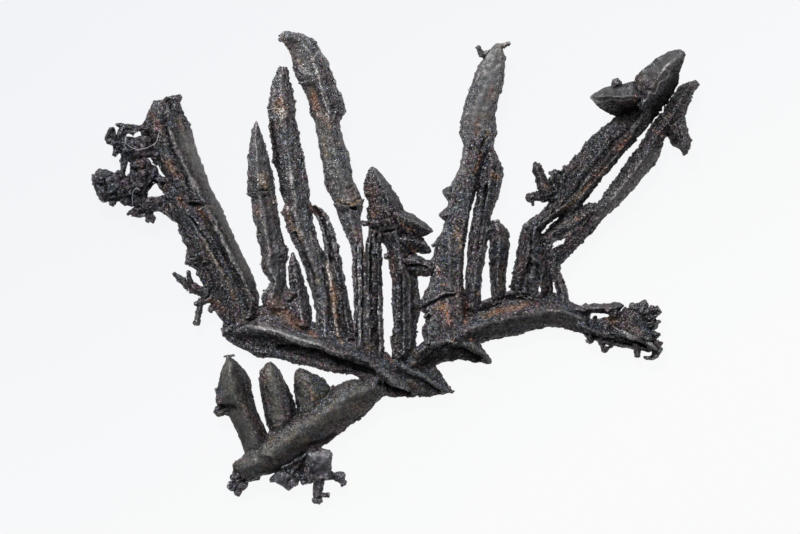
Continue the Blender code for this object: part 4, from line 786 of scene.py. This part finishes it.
def surface_spots(form, count, rng):
    """Random places on the form's faces, clear of its smooth parts, with their normals."""
    bmesh.ops.triangulate(form, faces=form.faces[:])
    corners = np.array([[tuple(v.co) for v in face.verts] for face in form.faces])
    first_side, second_side = corners[:, 1] - corners[:, 0], corners[:, 2] - corners[:, 0]
    cross = np.cross(first_side, second_side)
    area = np.linalg.norm(cross, axis=1)
    pick = rng.choice(len(area), count, p=area / area.sum())
    first, second = rng.random((2, count, 1))
    flip = first + second > 1
    first, second = np.where(flip, 1 - first, first), np.where(flip, 1 - second, second)
    spots = corners[pick, 0] + first * first_side[pick] + second * second_side[pick]
    normals = cross[pick] / np.maximum(area[pick, None], 1e-9)
    bare = draw(spots, normals, 0)[1]["shine"] < BARE_SHINE
    return spots[bare], normals[bare]


def add_plates(form, name):
    """Adds each of the piece's plates as a slab with a narrower top."""
    for _, under, top, outline in [plate for plate in PLATES if plate[0] == name]:
        middle = outline.mean(0)
        rings = []
        for height, share in ((under, .9), ((under + top) / 2, 1), (top, .8)):
            ring = middle + (outline - middle) * share
            rings.append([form.verts.new((x, y, height)) for x, y in ring])
        form.faces.new(rings[0][::-1])
        form.faces.new(rings[-1])
        for low, high in zip(rings[:-1], rings[1:]):
            for k in range(len(outline)):
                form.faces.new((low[k - 1], low[k], high[k], high[k - 1]))


CRYSTAL = np.array([(x, y, z) for z in (-1, 1) for y in (-1, 1) for x in (-1, 1)], float)
CRYSTAL_FACES = ((0, 2, 3, 1), (4, 5, 7, 6), (0, 1, 5, 4), (2, 6, 7, 3), (0, 4, 6, 2), (1, 3, 7, 5))


def add_crystals(form, spots, outward, sizes, lengths, rng):
    """Grows small blocky crystals out of the form, each tapered towards its tip."""
    for spot, out, size, length in zip(spots, outward, sizes, lengths):
        out = out + rng.normal(0, .4, 3)
        out /= np.linalg.norm(out)
        side = np.cross(out, rng.normal(0, 1, 3))
        side /= np.linalg.norm(side)
        across = np.cross(out, side)
        taper = np.where(CRYSTAL[:, 2:] > 0, rng.uniform(.1, .6), 1)
        half = np.array([size, size * rng.uniform(.6, 1), length])
        local = CRYSTAL * half * np.c_[taper, taper, taper * 0 + 1]
        corners = spot + local[:, :1] * side + local[:, 1:2] * across + local[:, 2:] * out
        verts = [form.verts.new(corner) for corner in corners]
        for face in CRYSTAL_FACES:
            form.faces.new([verts[k] for k in face])


LEAF = np.array([(-.5, -.7, 0), (.5, -.7, 0), (1, .2, 0), (.1, 1.3, 0), (-1, .3, 0)])


def add_leaves(form, count, rng):
    """Grows small pointed plates that lie roughly level, as in a flaky crust."""
    spots, normals = surface_spots(form, count, rng)
    for spot, out in zip(spots, normals):
        size = rng.uniform(.1, .2)
        turn = rng.uniform(0, 2 * math.pi)
        lean = rng.normal(0, .35, 2)
        across = np.array([math.cos(turn), math.sin(turn), lean[0]])
        onward = np.array([-math.sin(turn), math.cos(turn), lean[1]])
        if out[:2] @ onward[:2] < 0:
            onward = -onward
        flat = np.cross(across, onward)
        flat *= rng.uniform(.035, .05) / np.linalg.norm(flat)
        outline = spot + size * (LEAF[:, :1] * across + LEAF[:, 1:2] * onward * 1.15)
        top = [form.verts.new(corner + flat) for corner in outline]
        under = [form.verts.new(corner - flat) for corner in outline]
        form.faces.new(top)
        form.faces.new(under[::-1])
        for k in range(len(LEAF)):
            onto = (k + 1) % len(LEAF)
            form.faces.new((top[k], under[k], under[onto], top[onto]))


def add_grit(form, name, rng):
    """Granules all over, and teeth that point outwards from the sides."""
    look = PIECES[name]
    area = sum(face.calc_area() for face in form.faces)
    if name in LEAVES:
        add_leaves(form, int(area * LEAVES[name]), rng)
    spots, normals = surface_spots(form, int(area * GRIT_DENSITY * look.grit), rng)
    sizes = .04 + .055 * rng.random(len(spots)) ** 2
    groups = [(spots, normals, sizes, sizes * rng.uniform(.8, 1.5, len(spots)))]
    spots, normals = surface_spots(form, int(area * TOOTH_DENSITY * look.teeth), rng)
    level = (np.abs(normals[:, 2]) < .6) & (spots[:, 2] > .15)
    spots, normals = spots[level], normals[level] * (1, 1, .35)
    normals /= np.linalg.norm(normals, axis=1)[:, None]
    sizes = .035 + .045 * rng.random(len(spots))
    groups.append((spots, normals, sizes, sizes + .1 * rng.random(len(spots)) ** 2))
    for spots, normals, sizes, lengths in groups:
        add_crystals(form, spots, normals, sizes, lengths, rng)


def make_cutter(outline):
    """A prism over the outline, from under the growth to over it."""
    form = bmesh.new()
    top, under = [[form.verts.new((x, y, z)) for x, y in outline] for z in (6, -1)]
    form.faces.new(top)
    form.faces.new(under[::-1])
    for k in range(len(top)):
        form.faces.new((top[k - 1], under[k - 1], under[k], top[k]))
    bmesh.ops.recalc_face_normals(form, faces=form.faces)
    return add_object("cutter", finished(form, "cutter"))


def remeshed(form, name):
    """The form as one closed skin of small faces with its slits cut, an object in millimetres."""
    bmesh.ops.recalc_face_normals(form, faces=form.faces)
    piece = add_object(name + "_skin", finished(form, name + "_skin"))
    remesh = piece.modifiers.new("skin", "REMESH")
    remesh.mode = "VOXEL"
    remesh.voxel_size = VOXEL
    cutters = [make_cutter(outline) for names, outline in SLITS if name in names]
    for cutter in cutters:
        cut = piece.modifiers.new("slit", "BOOLEAN")
        cut.operation, cut.solver, cut.object = "DIFFERENCE", "MANIFOLD", cutter
    apply_modifiers(piece)
    for cutter in cutters:
        bpy.data.objects.remove(cutter)
    return piece


def draw(points, normals, seed):
    """What the strokes put on a skin: the height that they add, and how strong each staining, painted
    sheen, painted highlight and painted shade is.
    """
    wavy = points + .07 * np.stack([value_noise(points * 2.2, seed + k) for k in range(3)], 1)
    low, high = points.min(0)[:2], points.max(0)[:2]
    height = np.zeros(len(points))
    stains_and_light = {kind: np.zeros(len(points)) for kind in ("shine", "worn", "ochre", "rust", "soot", "crust")}
    for kind, width, strength, line in STROKES:
        if (line.max(0) < low - width).any() or (line.min(0) > high + width).any():
            continue
        gap, _, aside = to_line(wavy, line)
        near = 1 - smoothstep(0, 1, gap / width)
        if kind == "ridge":
            height += strength * np.clip(1 - gap / width, 0, 1) ** 1.3
        elif kind == "groove":
            height -= strength * near
        elif kind == "step":
            height += strength * near * (aside > 0)
        else:
            stains_and_light[kind] = np.maximum(stains_and_light[kind], np.minimum(strength * near, 1))
    facing = smoothstep(.05, .45, normals[:, 2])
    lit = smoothstep(-.3, .1, normals[:, 2])
    return height * facing, {kind: stain_and_light * lit for kind, stain_and_light in stains_and_light.items()}


def weather(piece, name, seed):
    """Displaces the skin with its strokes and its grain. Returns its staining with its painted sheen,
    highlights and shade, and their places.
    """
    look, mesh = PIECES[name], piece.data
    points, normals = points_of(mesh), normals_of(mesh)
    if name in SOFTENING:
        mean = averaged(points, edges_of(mesh), SOFTENING[name])[:, 2]
        points[:, 2] += smoothstep(.1, .5, normals[:, 2]) * (mean - points[:, 2])
        place(mesh, points)
        normals = normals_of(mesh)
    drawn, stains_and_light = draw(points, normals, seed + 60)
    calm = 1 - .8 * stains_and_light["shine"]
    steep = 1 - smoothstep(.35, .75, np.abs(normals[:, 2]))
    sway = [value_noise(points * 1.5, seed + k) + .6 * value_noise(points * 3.6, seed + k)
            for k in (70, 71, 72)]
    bent = points + BENDS.get(name, BEND) * np.stack(sway, 1)
    _, along, aside = to_line(points, np.reshape(look.axis, (-1, 2)))
    lumps = fractal(points * .9, 4, seed) * LUMP_HEIGHT * look.lumps
    wavy = aside + .12 * value_noise(points * 1.3, seed + 40)
    streaks = fractal(np.stack([along * .35, wavy * 3.4, points[:, 2] * 2.2], 1), 3, seed + 10)
    streaks *= STREAK_HEIGHT * look.streaks * smoothstep(-.2, .6, normals[:, 2] + .6)
    rough = smoothstep(-.4, .4, value_noise(points * .7, seed + 20))
    grains = shards(points * 5.2, seed + 30) * SHARD_HEIGHT
    grains += granules(points * 9.5, seed + 35) * GRANULE_HEIGHT
    grains = grains * look.grit * (.4 + .6 * rough) * calm
    crust = stains_and_light["crust"] * shards(points * 3.3, seed + 37) * CRUST_HEIGHT
    pits = smoothstep(.35, .8, value_noise(points * 3.4, seed + 50)) * PIT_DEPTH * look.grit
    pits = pits * (1 - .9 * stains_and_light["shine"])
    ragged = shards(points * 2.6, seed + 33) * RAGGEDNESS * look.teeth
    ragged *= steep * calm
    height = (lumps + streaks) * (1 - .6 * stains_and_light["shine"]) + grains + crust + ragged - pits
    height += drawn + SWELL
    place(mesh, bent + normals * height[:, None])
    return stains_and_light, (along, aside, points[:, 2])


def settle(piece):
    """Keeps the skin over the surface it lies on and inside the size of the solids."""
    low, high = np.array(cad_low) / MM, np.array(cad_high) / MM
    place(piece.data, np.clip(points_of(piece.data), low, high))


def relief_of(mesh):
    """How much each point stands out or is sunk, against its near and its wider surroundings."""
    points, normals, edges = points_of(mesh), normals_of(mesh), edges_of(mesh)
    near = averaged(points, edges, 2)
    wide = averaged(near, edges, 10)
    fine = ((points - near) * normals).sum(1) / FINE_RELIEF
    broad = ((near - wide) * normals).sum(1) / BROAD_RELIEF
    return fine, broad


def thin_out(piece):
    """Merges faces where the skin is nearly flat."""
    piece.modifiers.new("thin", "DECIMATE").ratio = KEPT_FACES
    apply_modifiers(piece)


def connected(start, left):
    """The points that are joined to the start, which are taken out of those that are left."""
    front, found = [start], []
    while front:
        vert = front.pop()
        found.append(vert)
        for edge in vert.link_edges:
            other = edge.other_vert(vert)
            if other in left:
                left.remove(other)
                front.append(other)
    return found


def drop_specks(piece):
    """Mends torn edges, and takes away slivers and what isn't joined to the rest of the skin."""
    form = bmesh.new()
    form.from_mesh(piece.data)
    bmesh.ops.dissolve_degenerate(form, dist=SLIVER, edges=form.edges[:])
    for _ in range(3):
        torn = {vert for edge in form.edges if len(edge.link_faces) != 2 for vert in edge.verts}
        if torn:
            bmesh.ops.delete(form, geom=list(torn), context="VERTS")
            rims = [edge for edge in form.edges if edge.is_boundary]
            patches = bmesh.ops.holes_fill(form, edges=rims, sides=0)["faces"]
            bmesh.ops.triangulate(form, faces=patches)
    left, islands = set(form.verts), []
    while left:
        islands.append(connected(left.pop(), left))
    islands.sort(key=len)
    specks = [vert for island in islands[:-1] for vert in island]
    bmesh.ops.delete(form, geom=specks, context="VERTS")
    form.to_mesh(piece.data)
    form.free()


def grow_piece(name, trees, seed):
    look = PIECES[name]
    form = solid_form(name)
    close_forks(form, name, trees)
    add_plates(form, name)
    add_grit(form, name, np.random.default_rng(seed))
    piece = remeshed(form, name)
    stains_and_light, grain = weather(piece, name, seed * 100)
    settle(piece)
    fine, broad = relief_of(piece.data)
    store(piece, "grain", grain)
    # relief carries the painted shade of the hollows and strokes; stain carries the painted sheen and
    # highlights with the ochre and rust
    store(piece, "relief", (fine, broad, stains_and_light["soot"], np.full(len(fine), look.tone)))
    store(piece, "stain_and_light", [stains_and_light[kind] for kind in ("shine", "ochre", "rust", "worn")])
    thin_out(piece)
    drop_specks(piece)
    place(piece.data, points_of(piece.data) * MM)
    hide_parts(name)
    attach(piece, "root")
    return piece


def lay_lint(number, line, grounds, material):
    """A fibre of lint that lies loosely over the crystals under it."""
    heights = []
    for x, y in line:
        casts = [ground.ray_cast((x * MM, y * MM, .01), (0, 0, -1)) for ground in grounds]
        heights.append(max([spot.z for hit, spot, *_ in casts if hit], default=0))
    heights = [max(heights[max(k - 1, 0):k + 2]) for k in range(len(line))]
    curve = bpy.data.curves.new("lint", "CURVE")
    curve.dimensions = "3D"
    curve.bevel_depth = LINT_RADIUS * MM
    curve.bevel_resolution = 1
    curve.use_fill_caps = True
    spline = curve.splines.new("NURBS")
    spline.points.add(len(line) - 1)
    for point, (x, y), z in zip(spline.points, line, heights):
        point.co = (x * MM, y * MM, z + LINT_RADIUS * MM, 1)
    spline.order_u = 3
    spline.use_endpoint_u = True
    guide = add_object("lint_guide", curve)
    form = bmesh.new()
    form.from_mesh(evaluated(guide))
    bpy.data.objects.remove(guide)
    bmesh.ops.remove_doubles(form, verts=form.verts, dist=1e-6)
    mesh = finished(form, "lint")
    mesh.materials.append(material)
    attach(add_object("lint_%d" % number, mesh), "root")


# ---------------------------------------------------------------------------------------------
# Materials

class Nodes:
    """Short calls for building a material's node tree."""

    def __init__(self, name):
        self.material = bpy.data.materials.new(name)
        self.material.use_nodes = True
        self.tree = self.material.node_tree
        self.shader = self.tree.nodes["Principled BSDF"]
        self.place_mm = self.vector("MULTIPLY", self.add("TexCoord").outputs["Object"], (1 / MM,) * 3)

    def add(self, kind, inputs=None, **settings):
        node = self.tree.nodes.new("ShaderNode" + kind)
        for key, value in settings.items():
            setattr(node, key, value)
        for key, value in (inputs or {}).items():
            self.feed(value, node.inputs[key])
        return node

    def feed(self, value, socket):
        if isinstance(value, bpy.types.NodeSocket):
            self.tree.links.new(value, socket)
        else:
            socket.default_value = value

    def set(self, **values):
        """Sets the shader's inputs, whose names are written with _ for a space."""
        for key, value in values.items():
            self.feed(value, self.shader.inputs[key.replace("_", " ")])

    def math(self, operation, first, second):
        return self.add("Math", {0: first, 1: second}, operation=operation).outputs[0]

    def times(self, first, second):
        return self.math("MULTIPLY", first, second)

    def vector(self, operation, first, second):
        """Arithmetic on vectors. SCALE takes a number, which is the node's fourth input."""
        inputs = {0: first, 3 if operation == "SCALE" else 1: second}
        return self.add("VectorMath", inputs, operation=operation).outputs[0]

    def span(self, value, low, high, out_low=0.0, out_high=1.0):
        node = self.add("MapRange", {"Value": value, "From Min": low, "From Max": high,
                                     "To Min": out_low, "To Max": out_high})
        return node.outputs["Result"]

    def mix(self, share, first, second):
        node = self.add("Mix", data_type="RGBA")
        self.feed(share, node.inputs[0])
        for value, socket in ((first, node.inputs[6]), (second, node.inputs[7])):
            self.feed((*value, 1) if isinstance(value, tuple) else value, socket)
        return node.outputs[2]

    def noise(self, vector, scale, detail=3.0, roughness=.55):
        node = self.add("TexNoise", {"Vector": vector, "Scale": scale, "Detail": detail,
                                     "Roughness": roughness})
        return node.outputs["Fac"]

    def stored(self, name):
        """An attribute of the mesh, as a list of its first three values and its fourth."""
        node = self.add("Attribute", attribute_name=name)
        parts = self.add("SeparateXYZ", {0: node.outputs["Vector"]})
        return [*parts.outputs, node.outputs["Alpha"]]

    def faceted(self, cells, share):
        """The surface's normal, turned a little another way in each cell."""
        normal = self.add("NewGeometry").outputs["Normal"]
        for cell in cells:
            lean = self.vector("SUBTRACT", cell.outputs["Color"], (.5, .5, .5))
            lean = self.vector("SCALE", lean, self.times(share, FACET_TILT))
            normal = self.vector("ADD", normal, lean)
        return self.add("VectorMath", {0: normal}, operation="NORMALIZE").outputs[0]


def tarnish_material(name, base, crest_and_glint, ochre, rust, roughness, metallic, glint_share):
    """Silver under its black sulphide skin: granular, with painted shade that blackens the hollows,
    rubbed bare on the crests with painted highlights, and with painted glints.
    """
    n = Nodes(name)
    place_mm = n.place_mm
    grain = n.add("Attribute", attribute_name="grain").outputs["Vector"]
    fine, broad, soot, tone = n.stored("relief")
    shine, ochre_at, rust_at, worn_and_lit_at = n.stored("stain_and_light")
    cells = n.add("TexVoronoi", {"Vector": place_mm, "Scale": CRYSTALLITES})
    cell = n.add("SeparateColor", {0: cells.outputs["Color"]}).outputs
    dust = n.add("TexVoronoi", {"Vector": place_mm, "Scale": CRYSTALLITES * 1.8})
    mote = n.add("SeparateColor", {0: dust.outputs["Color"]}).outputs
    mottle = n.noise(place_mm, 2.2, 4)
    tint = n.noise(place_mm, .8, 5, .7)
    specks = n.noise(place_mm, 8.0, 3, .7)
    streaks = n.noise(n.vector("MULTIPLY", grain, (.5, 7, 3)), 1.0)
    rough_here = n.span(shine, 0, 1, 1, .22)

    # the skin, with its crystallites painted bright as glints and dark as shade
    dark = tuple(value * .25 for value in base)
    painted_sheen = tuple(value * .42 for value in crest_and_glint)
    colour = n.mix(n.span(mottle, .35, .7), dark, base)
    colour = n.mix(n.span(streaks, .5, .75, 0, .2), colour, crest_and_glint)
    colour = n.mix(n.span(tint, .5, .66, 0, .6), colour, STEEL_BLUE)
    colour = n.mix(n.span(tint, .46, .34, 0, .5), colour, UMBER)
    # painted sheen: where shine smooths the surface, it is also painted a lighter grey, as facets that
    # face the light look
    colour = n.mix(n.times(shine, n.span(mottle, .2, .8, .6, 1)), colour, painted_sheen)
    # painted glints and painted shade: some cells take the bright colour, others the dark one
    for source, share in ((cell, .5), (mote, 1.9)):
        lit = n.times(n.span(source[0], .62, .96, 0, glint_share * share), rough_here)
        colour = n.mix(lit, colour, crest_and_glint)
        unlit = n.times(n.span(source[1], .55, .85, 0, .85), rough_here)
        colour = n.mix(unlit, colour, dark)
    patch = n.span(n.noise(place_mm, .9, 2), .4, .6)
    other = n.math("SUBTRACT", 1.0, patch)
    for source, low, high, share, hue, where in (
            (cell, .70, .74, .5, VIOLET, patch), (cell, .26, .22, .5, OLIVE, other),
            (mote, .70, .74, .45, STEEL_BLUE_LIGHT, other), (mote, .22, .18, .45, TAN, patch)):
        here = n.times(n.span(source[2], low, high, 0, share), where)
        colour = n.mix(n.times(here, rough_here), colour, hue)

    # ochre and rust, flecked with painted glints
    faint = n.times(n.span(n.noise(place_mm, .7), .55, .7), .28)
    ochre_share = n.times(n.math("MAXIMUM", ochre_at, faint), n.span(specks, .40, .58))
    ochre_and_glints = n.mix(n.span(mote[0], .78, .9, 0, .8), ochre, PALE_HIGHLIGHT)
    colour = n.mix(n.times(ochre_share, .85), colour, ochre_and_glints)
    rust_and_glints = n.mix(n.span(mote[1], .5, .8), rust, ochre)
    rust_and_glints = n.mix(n.span(mote[0], .84, .9, 0, .7), rust_and_glints, PALE_HIGHLIGHT)
    rust_share = n.times(rust_at, n.span(specks, .6, .42))
    rust_share = n.times(rust_share, n.span(cell[1], .2, .5, .4, 1))
    colour = n.mix(rust_share, colour, rust_and_glints)

    # painted shade that blackens the hollows and the facets turned from the light, crests rubbed bare
    # with painted highlights, and painted glints
    # painted shade: concave places and the soot strokes are darkened nearly to black in the colour
    shade_share = n.math("MAXIMUM", n.span(broad, .1, -.5), n.times(soot, .95))
    colour = n.mix(n.times(shade_share, .92), colour, tuple(value * .1 for value in base))
    # crests rubbed bare, with a painted highlight: lighter where a point stands out from its neighbours
    bared_and_highlit = n.times(n.span(fine, .2, 1.1), n.span(cell[0], .3, .8))
    bared_and_highlit = n.times(bared_and_highlit, n.span(soot, 0, 1, .6, .15))
    bared_and_highlit = n.times(bared_and_highlit, n.span(shine, 0, 1, 1, .35))
    colour = n.mix(bared_and_highlit, colour, tuple(value * 1.2 for value in crest_and_glint))
    # painted highlights on partly rubbed metal: pale specks along the ridges and on flanks that face the
    # light
    colour = n.mix(n.times(worn_and_lit_at, n.span(specks, .3, .6, .3, .9)), colour, PALE_HIGHLIGHT)
    # painted glints: pale pinpoints put into the colour, fewer in the painted shade
    glint = n.times(n.span(mote[1], .06, .04), n.span(dust.outputs[0], .45, .25))
    glint = n.times(glint, n.span(soot, .4, 1, 1, .2))
    glint = n.times(glint, rough_here)
    colour = n.mix(n.times(glint, .9), colour, PALE_HIGHLIGHT)

    gloss = n.span(n.noise(place_mm, 4.0), .3, .7, roughness - .12, roughness + .14)
    bumps = n.times(n.noise(place_mm, 10.0, 4, .65), rough_here)
    bump = n.add("Bump", {"Height": bumps, "Strength": .9, "Distance": BUMP_DEPTH * MM,
                          "Normal": n.faceted((cells, dust), rough_here)})
    n.set(Base_Color=n.vector("SCALE", colour, tone), Metallic=metallic, Specular_IOR_Level=.3,
          Roughness=n.math("ADD", gloss, n.times(shine, .22)), Normal=bump.outputs[0])
    return n.material


def floor_material():
    """A pale light table: it glows, so that shadows on it stay faint, and its glow is painted a little
    dimmer and bluer towards the far left, as the studio light falls off.
    """
    n = Nodes("pale_table")
    across = n.add("SeparateXYZ", {0: n.place_mm})
    # painted light falloff across the table, with a little noise: the glow is dimmer and bluer towards
    # the far left
    light_falloff = n.math("SUBTRACT", across.outputs[1], n.times(across.outputs[0], .6))
    light_falloff = n.math("ADD", light_falloff, n.times(n.noise(n.place_mm, .03, 2), 6.0))
    tint = n.mix(n.span(light_falloff, -10, 40), (.930, .933, .933), (.860, .867, .897))
    n.set(Base_Color=(.02, .02, .02, 1), Specular_IOR_Level=0, Roughness=.7, Emission_Color=tint,
          Emission_Strength=1)
    return n.material


def lint_material():
    """White cotton, a little grey along its length."""
    n = Nodes("lint")
    n.set(Base_Color=n.mix(n.noise(n.place_mm, 5), (.3, .31, .34), (.7, .7, .72)), Roughness=.7)
    return n.material


# ---------------------------------------------------------------------------------------------
# The studio

def make_camera():
    camera = add_object("camera", bpy.data.cameras.new("camera"))
    camera.data.sensor_width = SENSOR_WIDTH
    camera.data.lens = SENSOR_WIDTH * (CAMERA_HEIGHT - CREST_HEIGHT) / VIEW_WIDTH
    camera.data.clip_start, camera.data.clip_end = .01, 10
    camera.location = (VIEW_CENTRE[0] * MM, VIEW_CENTRE[1] * MM, CAMERA_HEIGHT * MM)
    bpy.context.scene.camera = camera


def make_floor():
    form = bmesh.new()
    bmesh.ops.create_grid(form, x_segments=1, y_segments=1, size=.6)
    table = add_object("table", finished(form, "table"))
    table.data.materials.append(floor_material())


def make_lights():
    """Soft light from above and from the far left. The near side is left dark."""
    world = bpy.data.worlds.new("studio")
    world.use_nodes = True
    tree = world.node_tree
    direction = tree.nodes.new("ShaderNodeTexCoord").outputs["Generated"]
    lean = tree.nodes.new("ShaderNodeVectorMath")
    lean.operation = "DOT_PRODUCT"
    lean.inputs[1].default_value = (-.25, .85, .45)
    tree.links.new(direction, lean.inputs[0])
    share = tree.nodes.new("ShaderNodeMapRange")
    for key, value in (("From Min", -.3), ("From Max", .9), ("To Min", .06), ("To Max", 1.2)):
        share.inputs[key].default_value = value
    tree.links.new(lean.outputs["Value"], share.inputs["Value"])
    background = tree.nodes["Background"]
    background.inputs["Color"].default_value = (.95, .97, 1, 1)
    tree.links.new(share.outputs["Result"], background.inputs["Strength"])
    bpy.context.scene.world = world
    light = bpy.data.lights.new("key", "AREA")
    light.shape, light.size, light.energy = "DISK", .12, 2.2
    lamp = add_object("key", light)
    lamp.location = (-.10, .30, .34)
    lamp.rotation_euler = (-lamp.location).to_track_quat("-Z", "Y").to_euler()


def main():
    bpy.context.scene.view_settings.view_transform = "Standard"
    materials = {slot: tarnish_material(*values) for slot, values in TARNISHES.items()}
    trees = {}
    for name in PIECES:
        form = solid_form(name)
        trees[name] = BVHTree.FromBMesh(form)
        form.free()
    pieces = {}
    for seed, name in enumerate(PIECES, FIRST_SEED):
        piece = pieces[name] = grow_piece(name, trees, seed)
        piece.data.materials.clear()
        piece.data.materials.append(materials[PIECES[name].slot])
    faces = sum(len(face.vertices) - 2 for piece in pieces.values() for face in piece.data.polygons)
    print("TRIANGLES", faces)
    bpy.context.view_layer.update()
    lint = lint_material()
    for number, line in enumerate(LINT, 1):
        grounds = (pieces["left_cluster"], pieces["left_arm"])
        lay_lint(number, line, grounds, lint)
    make_floor()
    make_lights()
    make_camera()


main()
